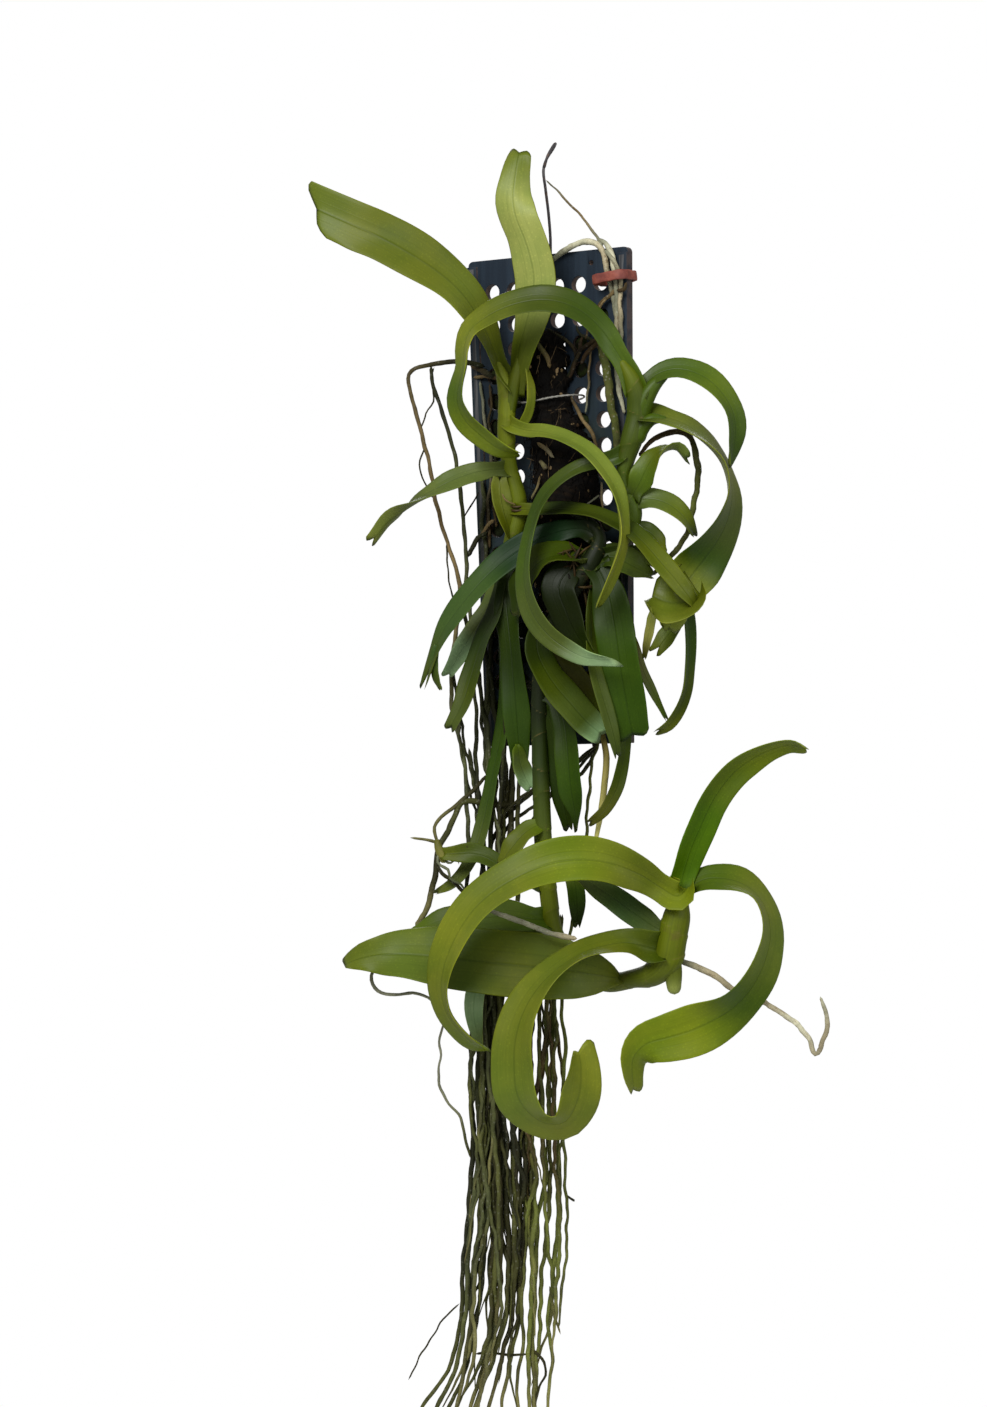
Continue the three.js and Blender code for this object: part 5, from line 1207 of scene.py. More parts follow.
# %% Write the roots' routes
UPPER_ROOTS = [
    ("grey, white, beige, grey, grey", [
        (0, -67.5, 3.5, 1.5), (6, -62.5, 7, 1.6), (13, -58.5, 12, 1.7), (20, -56.5, 16, 1.7),
        (26, -58.5, 20, 1.7), (30, -66, 22, 1.7), (32.5, -76, 23.5, 1.6), (35, -88, 25, 1.6),
        (37.5, -100, 26.5, 1.5), (39, -109, 27, 1)]),
    ("grey, white, grey, beige, grey, white", [
        (26, -55, 18, 1), (31, -58, 22, 1.5), (34.5, -65, 25, 1.6), (36, -75, 27, 1.6),
        (36.8, -88, 28, 1.6), (37, -103, 28.5, 1.5), (36.8, -118, 28.5, 1.5), (37, -132, 29, 1.5),
        (39, -144, 29, 1.4), (41.5, -155, 30, 0.9)]),
    ("grey, tan, grey", [
        (-3.4, -21.5, -2, 0.5), (8, -33, 7, 0.6), (18, -43, 12, 0.7), (25, -54, 18, 0.9),
        (29, -60, 20.5, 1.1)]),
    ("tan, brown", [
        (38, -80, 27.5, 1.2), (35, -86, 26, 1.2), (29, -91, 21.5, 1), (25, -97, 18.5, 0.7)]),
    ("grey, tan, grey", [
        (36, -116, 27, 1.2), (29, -113, 21.5, 1.1), (24, -115, 18.5, 0.8), (21.3, -125, 16.5, 0.7),
        (21, -140, 16.3, 0.7), (19, -155, 15, 0.6)]),
    ("moss, light green, moss, light green, moss", [
        (27, -110, 26, 1.3), (29, -120, 27.5, 2.2), (31, -132, 28.5, 2.4), (34.2, -150, 30, 2.4),
        (37.4, -176, 31, 2)]),
]
RIGHT_LOOP_ROOT = [
    ("brown, brown, moss, light green, moss, moss", [
        (49.6, -179, 42.5, 1.1), (57, -170, 38, 1.4), (65, -166, 36, 1.7), (73, -165, 36, 1.8),
        (79.5, -168, 36, 1.8), (82, -176, 36, 1.8), (83, -188, 36, 1.8), (82, -200, 35, 1.7),
        (80, -212, 34, 1.6), (77, -223, 33, 1.6), (72, -231, 30, 1.6), (65, -239, 26, 1.5),
        (57, -247, 25, 1.2)]),
]
FRONT_RIGHT_ROOT = [
    ("grey, beige, beige, white, beige, white", [
        (70, -464, 47, 1.3), (75, -467.3, 46.8, 1.6), (81, -469.5, 46, 1.8), (88, -473, 47, 1.9),
        (94, -476, 50, 1.8), (100, -480.5, 53, 1.7), (108, -485, 55, 1.6), (118, -489, 56, 1.6),
        (128, -495, 57, 1.6), (139, -502, 58, 1.5), (146, -510, 59, 1.5), (150.5, -520, 60, 1.4),
        (154.5, -512, 62, 1.4), (157, -502, 63, 1.4), (155.5, -494, 64, 1.2),
        (153, -487, 65, 0.8)]),
]
FRONT_LEFT_ROOT = [
    ("grey, white, grey, beige", [
        (-37, -437.5, 50, 1), (-26, -441.5, 53, 1.4), (-14, -446, 55, 1.5), (-2, -450.5, 56, 1.6),
        (8, -453, 56, 1.6), (14.5, -454.2, 55, 1.2)]),
]
print(len(UPPER_ROOTS), "roots over the rim")

# %% Write the hanging roots' routes
HANGING_ROOTS = [
    ("black, tan, grey green, black, black, moss", [
        (-38, -128, -20, 1.4), (-46, -126, -16, 1.5), (-55, -125, -12, 1.4), (-70, -127, -8, 1.3),
        (-79, -129.5, -7, 1.2), (-82, -134, -7, 1.2), (-80, -146, -7, 1.2), (-75, -162, -7, 1.2),
        (-70, -184, -8, 1.2), (-66, -205, -9, 1.2), (-60, -227, -10, 1.2), (-54, -246, -11, 1.2),
        (-52, -262, -12, 1.3), (-55, -282, -12, 1.3), (-57.5, -306, -12, 1.3),
        (-57, -320, -12, 1.2), (-53, -338, -12, 1.2), (-50, -356, -11, 1.2), (-48, -378, -9, 1.3),
        (-48, -405, -6, 1.3), (-48, -440, -3, 1.3), (-47, -470, -2, 1.4), (-46, -512, -2, 1.4),
        (-46, -545, -2, 1.4), (-45, -572, -2, 1.5), (-47, -602, -2, 1.4), (-50, -634, -2, 1.3),
        (-52, -668, -2, 1.3), (-58, -698, -2, 1.2), (-74, -721, -2, 1.1), (-84, -744, -2, 0.6)]),
    ("black, grey green, black, black, grey green, moss", [
        (-69, -127, -8, 1), (-68, -138, -8, 1.2), (-63, -152, -9, 1.2), (-57, -173, -10, 1.2),
        (-52.5, -195, -11, 1.2), (-50.5, -217, -11, 1.2), (-49, -236, -11, 1.2),
        (-48, -255, -12, 1.2), (-46.5, -274, -12, 1.2), (-46.5, -297, -12, 1.2),
        (-43.5, -322, -13, 1.2), (-43, -345, -12, 1.3), (-43, -366, -11, 1.3), (-40, -392, -8, 1.3),
        (-39, -425, -5, 1.4), (-41, -470, -2, 1.5), (-42, -510, -1, 1.5), (-42, -548, 0, 1.6),
        (-42, -582, 0, 1.6), (-46, -612, 0, 1.5), (-48, -645, 0, 1.5), (-50, -675, 0, 1.4),
        (-56, -702, 0, 1.3), (-66, -722, 0, 1.2), (-74, -748, 0, 0.6)]),
    ("umber", [
        (-67, -128, -8, 0.5), (-69, -136, -8, 0.5), (-67.5, -146, -9, 0.5), (-71.5, -155, -8, 0.5),
        (-75, -164, -7, 0.5)]),
    ("umber", [
        (-71.5, -172, -7.5, 0.5), (-75.5, -186, -8, 0.5), (-72, -196, -8.5, 0.5),
        (-66.5, -204, -9, 0.5)]),
    ("umber", [
        (-60, -228, -10, 0.5), (-59.5, -246, -11, 0.5), (-55, -264, -12, 0.5),
        (-54.5, -280, -12, 0.5)]),
    ("black", [(-36, -222, -17, 1.2), (-43, -226, -14, 1.4), (-48, -237, -11, 1.3)]),
    ("umber", [(-41.5, -199, -18, 0.5), (-46, -207, -15, 0.5), (-51, -215, -11, 0.5)]),
    ("black, black, grey green, black, black, moss", [
        (-38, -256, -18, 1), (-40, -276, -16, 1.4), (-36, -300, -15, 1.5), (-33, -322, -15, 1.5),
        (-30, -345, -15, 1.5), (-28.5, -372, -13, 1.5), (-30, -400, -10, 1.5), (-33, -440, -6, 1.5),
        (-35, -470, -2, 1.6), (-36, -505, -1, 1.6), (-36, -540, -1, 1.7), (-37, -578, -1, 1.7),
        (-38, -615, -1, 1.6), (-40, -650, -1, 1.5), (-45, -682, -1, 1.4), (-51, -705, -1, 1.3),
        (-60, -724, -1, 1.1), (-66, -745, -1, 0.5)]),
    ("black, grey green, black, moss, black, khaki", [
        (-33, -262, -19, 0.9), (-35, -288, -16, 1.3), (-37, -318, -14, 1.3), (-37, -345, -13, 1.3),
        (-34, -372, -12, 1.3), (-35, -400, -9, 1.4), (-37, -438, -5, 1.4), (-38.5, -470, -2, 1.5),
        (-39, -505, 1, 1.5), (-40, -545, 2, 1.5), (-39.5, -580, 2, 1.5), (-41, -612, 2, 1.4),
        (-44, -645, 2, 1.4), (-47, -675, 2, 1.3), (-50, -700, 2, 1.2), (-55, -724, 2, 1),
        (-58, -750, 2, 0.5)]),
]
print(len(HANGING_ROOTS), "strands so far")

# %% Write the strands that start below the crown
HANGING_ROOTS += [
    ("umber, umber, moss, umber, "
     "black, umber, moss, khaki", [
        (-22, -351, -13, 1.2), (-23, -362, -13, 1.9), (-23, -380, -12, 1.9), (-25, -405, -9, 1.8),
        (-27, -440, -5, 1.7), (-28, -470, -2, 1.7), (-29, -505, -1, 1.6), (-29, -540, 0, 1.6),
        (-28, -572, 0, 1.7), (-26, -602, 0, 1.8), (-24.5, -640, 0, 1.8), (-26, -668, 0, 1.6),
        (-32, -688, 0, 1.5), (-38, -706, 0, 1.3), (-45, -724, 0, 1.1), (-50, -748, 0, 0.5)]),
    ("umber, moss, umber, moss, umber, khaki", [
        (-18, -352, -12, 1), (-19, -372, -11, 1.3), (-20, -400, -8, 1.4), (-20, -440, -4, 1.5),
        (-22, -470, -2, 1.6), (-23, -520, 1, 1.6), (-22.5, -560, 2, 1.7), (-21.5, -600, 2, 1.8),
        (-21, -640, 2, 1.7), (-23, -668, 2, 1.5), (-27, -688, 2, 1.4), (-32, -706, 2, 1.2),
        (-37, -728, 2, 1), (-40, -752, 2, 0.5)]),
    ("umber, umber, black, moss, khaki", [
        (-14, -440, -3, 1.2), (-17, -470, -2, 1.5), (-18.5, -520, -2, 1.5), (-18, -562, -2, 1.5),
        (-18, -602, -2, 1.5), (-18, -642, -2, 1.5), (-19.5, -672, -2, 1.4), (-24, -696, -2, 1.3),
        (-28, -716, -2, 1.1), (-30, -744, -2, 0.5)]),
    ("moss, umber, moss, moss, khaki", [
        (-10, -440, -2, 1), (-13, -470, -2, 1.4), (-14.5, -520, 0, 1.4), (-15, -562, 0, 1.4),
        (-15, -602, 0, 1.4), (-15.5, -640, 0, 1.3), (-17.5, -664, 0, 1.2), (-16.5, -690, 0, 1.1),
        (-20, -706, 0, 1), (-19, -728, 0, 0.8), (-21, -746, 0, 0.4)]),
    ("moss, umber, moss, light green, khaki", [
        (-6, -440, -1, 1), (-9, -470, -2, 1.3), (-12, -520, 2, 1.3), (-12, -560, 2, 1.3),
        (-11.5, -595, 2, 1.3), (-11.5, -650, 2, 1.3), (-13, -684, 2, 1.3), (-13.5, -706, 2, 1.2),
        (-12, -730, 2, 1), (-13, -756, 2, 0.4)]),
    ("light green, moss, light green, moss, khaki", [
        (-2, -440, 2, 1), (-5, -470, -2, 1.3), (-7.5, -500, -1, 1.3), (-6.5, -532, -1, 1.3),
        (-5, -562, -1, 1.4), (-4, -592, 0, 1.4), (-8, -614, 1, 1.4), (-9.5, -650, 0, 1.4),
        (-11, -690, 0, 1.3), (-10, -722, 0, 1.1), (-11, -750, 0, 0.5)]),
    ("light green, light green, moss, light green, khaki", [
        (2, -440, 1, 1), (0, -470, -2, 1.2), (-3.5, -500, -2, 1.2), (-2, -540, -2, 1.3),
        (-1, -578, -2, 1.3), (-2, -612, -1, 1.4), (-5.5, -642, -1, 1.3), (-7, -676, -1, 1.2),
        (-9, -704, -1, 1.1), (-9, -730, -1, 0.8), (-7, -750, -1, 0.4)]),
    ("moss, light green, light green, light green, khaki", [
        (6, -440, 0, 1), (4, -470, -2, 1.2), (0.5, -505, -1, 1.3), (1, -545, 0, 1.3),
        (3.5, -580, 0, 1.7), (4, -612, 0, 1.7), (1, -642, 0, 1.4), (-2, -672, 0, 1.1),
        (0, -698, 0, 1), (-3, -724, 0, 0.9), (-2, -748, 0, 0.4)]),
]
print(len(HANGING_ROOTS), "strands so far")

# %% Write the thin strands and side roots
HANGING_ROOTS += [
    ("moss, light green, light green, moss", [
        (24, -300, 24, 0.7), (28, -335, 22, 0.8), (23, -354, 19, 0.9), (21, -372, 17, 0.9),
        (18, -410, 10, 0.9), (11, -448, 3, 1), (6, -470, -2, 1.1), (5.5, -492, 2, 1.1),
        (7.5, -515, 4, 1.1), (6, -552, 5, 1.1), (7.5, -585, 5, 0.9), (8.5, -630, 5, 0.9),
        (5.5, -655, 5, 0.9), (4, -676, 5, 0.6)]),
    ("umber", [(7.5, -600, 5, 0.6), (13, -604, 5, 0.8)]),
    ("moss, khaki", [(-1.5, -652, 0, 0.9), (1.5, -668, 1, 0.9), (5, -680, 1, 0.5)]),
    ("umber", [
        (-11, -688, 0, 0.9), (-4.5, -695, 1, 0.8), (-3, -702, 1, 0.7), (-8, -710, 0, 0.7),
        (-10, -722, 0, 0.7)]),
    ("umber", [
        (-52.5, -662, -2, 0.5), (-60, -669, -2, 0.5), (-69, -682, -2, 0.5), (-76, -694, -2, 0.5),
        (-82, -706, -2, 0.4)]),
    ("umber", [
        (-44, -691, 1, 0.8), (-36, -690, 0, 0.7), (-26, -691.5, 0, 0.7), (-13, -691, 1, 0.7)]),
    ("umber, moss, umber, khaki", [
        (-22, -378, -12, 1.6), (-36, -377.5, -10, 1.8), (-50, -376, -8, 1.7), (-57, -388, -5, 1.7),
        (-64, -402, -2, 1.7), (-67, -420, 2, 1.7), (-71, -436, 6, 1.8), (-78, -448, 9, 1.6)]),
    ("umber, khaki", [
        (-36, -360, -12, 0.9), (-44, -368, -10, 1.2), (-53, -377, -7, 1.2), (-62, -384, -4, 1.1),
        (-67, -391, -2, 1), (-65, -400, -2, 0.9)]),
    ("khaki", [(-64, -399.5, -1, 0.9), (-70, -398, 3, 0.8), (-81, -396.5, 5, 0.6)]),
    ("umber", [
        (-65.5, -412, 1, 0.9), (-62, -417, 6, 1.1), (-58, -420, 8, 1.1), (-54, -424, 8, 1.1),
        (-48, -431, 5, 0.9)]),
    ("umber, grey, grey, moss", [
        (-72, -470, 22, 0.8), (-90, -466, 26, 0.9), (-102, -472, 27, 1), (-102.5, -480, 27, 1.1),
        (-97, -485, 26, 1), (-88, -486, 24, 0.9), (-79, -485, 22, 0.9), (-70, -488, 18, 0.8),
        (-62, -499, 13, 0.7), (-64, -512, 10, 0.7), (-63, -520, 8, 0.7), (-65, -531, 6, 0.8),
        (-61, -545, 4, 0.8), (-52, -557, 2, 0.8), (-48.5, -571, 0, 0.9), (-46, -580, -2, 0.8)]),
    ("umber, moss", [
        (-49, -470, -2, 1.1), (-30, -471, -2, 1.4), (-12, -469, -2, 1.4), (8, -470, -2, 1)]),
    ("umber, moss, umber, black, moss, khaki", [
        (-26, -300, -16, 1), (-27, -330, -15, 1.3), (-26.5, -372, -13, 1.3), (-29, -405, -9, 1.4),
        (-31.5, -440, -5, 1.5), (-32.5, -475, -1, 1.6), (-33, -520, 0, 1.7), (-33.5, -560, 1, 1.8),
        (-33, -600, 1, 1.8), (-32, -640, 1, 1.7), (-34, -672, 1, 1.5), (-40, -700, 1, 1.3),
        (-47, -724, 1, 1.1), (-52, -750, 1, 0.5)]),
    ("umber, moss, umber, umber, khaki, khaki", [
        (-27, -440, -4, 1.2), (-29.5, -480, 1, 1.4), (-31, -525, 3, 1.5), (-30.5, -570, 3, 1.6),
        (-29.5, -610, 3, 1.6), (-29.5, -648, 3, 1.5), (-33, -680, 3, 1.3), (-39, -704, 3, 1.1),
        (-43, -726, 3, 0.9), (-45, -752, 3, 0.5)]),
]
print(len(HANGING_ROOTS), "hanging strands")


# %% Define a bundle of roots
def make_roots(name, strands, material, slot, extra=None, **style):
    """Strands, given with their hues, in one piece."""
    skin = Skin()
    for number, (hues, rows) in enumerate(strands):
        add_root(skin, rows, hues, seed=number + len(strands), **style)
    if extra:
        extra(skin)
    return skin.finish(name + "_strands", material, [name], slot)


print("root bundle ready")


# %% Define the crossing strands
def across_at(rows, up):
    """Where a hanging strand is at a height: across and depth."""
    for (a, high, da, _), (b, low, db, _) in zip(rows, rows[1:]):
        if high >= up >= low:
            w = (high - up) / max(high - low, 1e-6)
            return a + (b - a) * w, da + (db - da) * w
    return None


CROSSING_STRANDS = 52
CROSSING_TOPS = [-262, -300, -345, -440, -452, -465, -480, -500, -540]
LONG_STRAND = 200               # grid steps of height that make a strand a carrier
WIDE_GAP = 13                   # no strand hangs in a gap wider than this
CROSSING_HUES = [               # the hues of strands left of a place across
    (-33, "black, grey green, moss, grey green, khaki"),
    (-17, "black, umber, black, umber, moss"),
    (math.inf, "moss, brown, light green, khaki"),
]


def add_crossing_strands(skin):
    """Strands that wander from one neighbour to the next, as roots that cling together."""
    chance = random.Random(21)
    carriers = [rows for _, rows in HANGING_ROOTS if rows[0][1] - rows[-1][1] > LONG_STRAND]
    for number in range(CROSSING_STRANDS):
        top = chance.choice(CROSSING_TOPS)
        end = chance.uniform(-756, -640) if number % 3 else chance.uniform(-700, -560)
        spot = number % (len(carriers) - 1)
        size = chance.uniform(0.7, 1.45)
        rows, up = [], top
        while up > end:
            near = sorted(place for place in (across_at(r, up) for r in carriers) if place)
            if len(near) > 1:
                spot = min(max(spot + chance.choice([-1, 0, 0, 1]), 0), len(near) - 2)
                w = chance.uniform(-0.25, 1.25)
                (a, da), (b, db) = near[spot], near[spot + 1]
                if b - a > WIDE_GAP:
                    w = round(w)
                rows.append((a + (b - a) * w + chance.gauss(0, 0.7),
                             up, (da + db) / 2 + chance.uniform(-9, 9), size))
            up -= chance.uniform(30, 54)
        if len(rows) < 4:
            continue
        rows[-1] = (*rows[-1][:3], 0.35)
        middle = sum(row[0] for row in rows) / len(rows)
        hues = next(hues for limit, hues in CROSSING_HUES if middle < limit)
        add_root(skin, rows, hues, sides=6, wander=0.5 * MM, seed=100 + number,
                 ring_gap=2.3 * MM)


print(CROSSING_STRANDS, "crossing strands at most")

# %% Make the roots
NEAR_ROOT = dict(sides=12, ring_gap=1.2 * MM)       # finer, because these are seen up close
make_roots("roots_over_rim", UPPER_ROOTS, root_dry, "root_grey", **NEAR_ROOT)
make_roots("root_loop_right", RIGHT_LOOP_ROOT, root_dark, "root_dark", **NEAR_ROOT)
make_roots("root_front_right", FRONT_RIGHT_ROOT, root_beige, "root_beige", **NEAR_ROOT)
make_roots("root_front_left", FRONT_LEFT_ROOT, root_dry, "root_grey", **NEAR_ROOT)
make_roots("hanging_roots", HANGING_ROOTS, root_hanging, "root_olive",
           extra=add_crossing_strands)

# %% [markdown]
# ## The board
#
# The board is moulded plastic with a grid of round holes and a raised bead along both upright
# edges. One grid of cells is laid out so that each hole has its own cell. A cell is inset, the
# small square in it is subdivided and drawn out to a circle, and the disc is removed. Extruding
# the whole sheet then makes the hole walls at once, without one cut per hole.

# %% Set the board's sizes
# Millimetres. The board's own x runs from its axis, and down runs from its top
BOARD_HALF, BOARD_FOOT_HALF, BOARD_LENGTH, BOARD_THICK = 40.25, 35.75, 210.0, 4.0
BOARD_AXIS, BOARD_TOP, BOARD_FRONT, BOARD_LEAN = -3.8, -46.5, -0.8, math.radians(1.5)
BOARD_BACK = BOARD_FRONT + BOARD_THICK
BEAD_WIDTH, BEAD_RISE, BEAD_ROUND = 4.8, 1.1, 1.5
CORNER_CUT, EDGE_CUT = 2.3, 0.32
HOLE_RADIUS, HOLE_COLUMNS = 3.5, [-28.15, -17.25, -6.35, 4.55, 15.45, 26.35]
HOLE_ROWS = [14.2] + [28.5 + 11 * row for row in range(16)]
CELL_HALF_WIDTH, CELL_HALF_HEIGHT, CELL_RIM = 5.45, 5.5, 0.4
SCREW_HOLE = (22.0, 5.5, 1.0)   # x, down and radius
print(len(HOLE_ROWS) * len(HOLE_COLUMNS), "holes")


# %% Lay out the board's sheet
def board_place(x, down, y):
    """A point of the upright board, which leans a little to one side."""
    tilted = complex(x, -down) * complex(math.cos(BOARD_LEAN), math.sin(BOARD_LEAN))
    return MM * Vector((BOARD_AXIS + tilted.real, y, BOARD_TOP + tilted.imag))


def open_hole(bm, face, centre, radius):
    """Insets a cell, rounds the square that is left, and removes it."""
    bmesh.ops.inset_individual(bm, faces=[face], thickness=CELL_RIM)
    bmesh.ops.subdivide_edges(bm, edges=face.edges[:], cuts=5)
    middle = Vector((*centre, 0))
    discs = [face for face in bm.faces if len(face.verts) >= 24]
    disc = min(discs, key=lambda face: (face.calc_center_median() - middle).length)
    for vert in disc.verts:
        vert.co = middle + (vert.co - middle).normalized() * radius
    bmesh.ops.delete(bm, geom=[disc], context="FACES_ONLY")


def narrowing(down):
    """How much nearer to the axis an edge lies than at the board's top."""
    return (BOARD_HALF - BOARD_FOOT_HALF) * down / BOARD_LENGTH


def lay_out_sheet(bm):
    """The front of the board, flat, with every hole open and its top corners cut."""
    columns = [-BOARD_HALF, -BOARD_HALF + BEAD_WIDTH]
    columns += [x - CELL_HALF_WIDTH for x in HOLE_COLUMNS] + [HOLE_COLUMNS[-1] + CELL_HALF_WIDTH]
    columns += [BOARD_HALF - BEAD_WIDTH, BOARD_HALF]
    rows = [0, 2.5, 8.75, 19.65] + [down - CELL_HALF_HEIGHT for down in HOLE_ROWS[1:]]
    rows += [HOLE_ROWS[-1] + CELL_HALF_HEIGHT, BOARD_LENGTH]
    grid = bmesh.ops.create_grid(bm, x_segments=len(columns) - 1, y_segments=len(rows) - 1,
                                 size=0.5)
    for vert in grid["verts"]:
        i = round((vert.co.x + 0.5) * (len(columns) - 1))
        j = round((0.5 - vert.co.y) * (len(rows) - 1))
        x = columns[i]
        if i < 2 or i > len(columns) - 3:
            x -= math.copysign(narrowing(rows[j]), x)
        vert.co = (x, -rows[j], 0)
    holes = [(x, -down, HOLE_RADIUS) for down in HOLE_ROWS for x in HOLE_COLUMNS]
    holes.append((SCREW_HOLE[0], -SCREW_HOLE[1], SCREW_HOLE[2]))
    for x, y, radius in holes:
        bm.faces.ensure_lookup_table()
        cell = next(face for face in bm.faces if len(face.verts) == 4
                    and min(v.co.x for v in face.verts) < x < max(v.co.x for v in face.verts)
                    and min(v.co.y for v in face.verts) < y < max(v.co.y for v in face.verts))
        open_hole(bm, cell, (x, y), radius)
    corners = [vert for vert in bm.verts if abs(vert.co.y) < 0.01
               and abs(abs(vert.co.x) - BOARD_HALF) < 0.01]
    bmesh.ops.bevel(bm, geom=corners, offset=CORNER_CUT, segments=5, profile=0.5,
                    affect="VERTICES", material=-1)


print("a sheet of", len(HOLE_COLUMNS) + 4, "columns")

# %% Raise the board's beads
def extrude_up(bm, faces, height):
    """Extrudes faces along z; those given stay behind."""
    made = bmesh.ops.extrude_face_region(bm, geom=faces)
    for item in made["geom"]:
        if isinstance(item, bmesh.types.BMVert):
            item.co.z += height


def bead_border(face):
    """The distance from the axis to the bead's inner border, level with a face."""
    return BOARD_HALF - narrowing(-face.calc_center_median().y) - BEAD_WIDTH


def on_bead(face):
    """A front face between the sheet's edge and the bead's inner border."""
    middle, inner = face.calc_center_median(), bead_border(face)
    return (face.normal.z > 0.9 and middle.y < -2.5 and abs(middle.x) > inner
            and all(abs(vert.co.x) > inner - 0.6 for vert in face.verts))


def raise_beads(bm):
    """Raised strips along both edges, marked for the finish: 1 on top and 0.5 at the edges."""
    bead = bm.faces.layers.float["bead"]
    strips = [face for face in bm.faces if on_bead(face)]
    extrude_up(bm, strips, BEAD_RISE)
    bmesh.ops.delete(bm, geom=strips, context="FACES_ONLY")
    for face in bm.faces:
        middle = face.calc_center_median()
        if abs(middle.x) > bead_border(face) or middle.y > -0.1:
            face[bead] = 0.5
    tops = [face for face in bm.faces if face.normal.z > 0.9
            and face.calc_center_median().z > BOARD_THICK + 0.2]
    bmesh.ops.inset_region(bm, faces=tops, thickness=BEAD_ROUND, depth=0.3)
    for face in tops:
        face[bead] = 1.0


print("a bead", BEAD_RISE, "mm high")

# %% Make the board
def make_board():
    bm = bmesh.new()
    bm.faces.layers.float.new("bead")
    lay_out_sheet(bm)
    extrude_up(bm, bm.faces[:], BOARD_THICK)
    bmesh.ops.recalc_face_normals(bm, faces=bm.faces)
    raise_beads(bm)
    sharp = [edge for edge in bm.edges if edge.is_manifold and edge.calc_face_angle() > 0.8]
    bmesh.ops.bevel(bm, geom=sharp, offset=EDGE_CUT, segments=2, profile=0.5, affect="EDGES",
                    material=-1)
    for vert in bm.verts:
        vert.co = board_place(vert.co.x, -vert.co.y, BOARD_BACK - vert.co.z)
    bmesh.ops.recalc_face_normals(bm, faces=bm.faces)
    mesh = bpy.data.meshes.new("board_plate")
    bm.to_mesh(mesh)
    bm.free()
    piece = place_piece("board_plate", mesh, board_plastic, ["board"])
    sharpen = piece.modifiers.new("flat faces", "WEIGHTED_NORMAL")
    sharpen.keep_sharp = True
    return piece


make_board()

# %% [markdown]
# ## Wire, band and twine
#
# The wire hooks over a rail and passes through a hole. The band closes round the board's right
# edge. The twine holds the pad, and its two plies show as a twisting section. Each could be a
# curve with a bevel, but the wrapped grid lets the band be flat and the twine's section turn.

# %% Make the wire
WIRE_ROUTE = [                  # across, up and depth in grid steps, from its top end down
    (-4.5, -15, 8), (-2.5, -8, 10), (0.5, -2.5, 6.5), (2, -0.8, 0), (0.5, -4, -7),
    (-3, -9.5, -7.5), (-4.8, -16, -4), (-3.6, -27, -4.5), (-1.8, -42, -7), (-0.8, -58, -10.5),
    (-1.5, -70, -12.5), (-6, -79, -14)
]
WIRE_RADIUS = 0.62 * MM
WIRE_RINGS, CORD_SIDES = 150, 10
WIRE_HOOK = [                   # in the hole: beside its middle, y and above its middle, in mm
    (0.2, BOARD_BACK + 1.5, 2.6), (0, BOARD_BACK - 1, 1.5), (0, BOARD_FRONT + 1, 1.5),
    (0, BOARD_FRONT - 1.7, 3), (0, BOARD_FRONT - 2.3, 8.5)
]


def smooth_line(places, count):
    """The rings of a smooth line through places in metres, and its length."""
    route = Route(places, [1] * len(places))
    return route.line(count), route.length


def add_plain_tube(skin, line, radius):
    """A tube whose finish needs no tint."""
    plain = np.zeros((*radius.shape, 3))
    add_tube(skin, line, radius, plain, plain[..., 0])


def make_wire():
    hole = board_place(HOLE_COLUMNS[2], HOLE_ROWS[0], 0)
    places = [seen(*row) for row in WIRE_ROUTE]
    for dx, y, dz in WIRE_HOOK:
        places.append(Vector((hole.x + dx * MM, y * MM, hole.z + dz * MM)))
    line, length = smooth_line(places, WIRE_RINGS)
    print("wire length, mm:", round(length / MM))
    radius = np.full((WIRE_RINGS + 1, CORD_SIDES), WIRE_RADIUS)
    radius *= 1 + np.random.default_rng(3).normal(0, 0.02, (WIRE_RINGS + 1, 1))
    skin = Skin()
    add_plain_tube(skin, line, radius)
    return skin.finish("hanger_wire_bent", wire_metal, ["hanger_wire"], "wire")


make_wire()


# %% Shape the band
BAND_HALF_HEIGHT, BAND_HALF_THICK, BAND_SIDES = 2.1, 0.65, 20
BAND_TILT = math.radians(-7)
BAND_STEP = 0.7                 # about the distance between two rings, in mm


def band_ring():
    """The band's inner line seen from above, in mm: it clasps the roots and the board's edge."""
    left, right = 0.65, BOARD_HALF - HOLE_COLUMNS[5] + 0.8
    front, back = -6.6, BOARD_THICK + 0.7
    corners = [(left + 1.4, front), (right - 2.8, front), (right - 0.8, front + 0.8),
               (right, front + 2.8), (right, back - 1.4), (right - 0.4, back - 0.4),
               (right - 1.4, back), (left + 1.4, back), (left + 0.4, back - 0.4),
               (left, back - 1.4), (left, front + 1.4), (left + 0.4, front + 0.4)]
    loop = []
    for k, (x, y) in enumerate(corners):
        nx, ny = corners[(k + 1) % len(corners)]
        count = max(1, round(math.hypot(nx - x, ny - y) / BAND_STEP))
        loop += [(x + (nx - x) * m / count, y + (ny - y) * m / count) for m in range(count)]
    ring = np.array(loop)
    for _ in range(2):
        ring = 0.25 * np.roll(ring, 1, 0) + 0.5 * ring + 0.25 * np.roll(ring, -1, 0)
    return np.vstack([ring, ring[:1]])


print("band's inner line:", len(band_ring()) - 1, "steps")


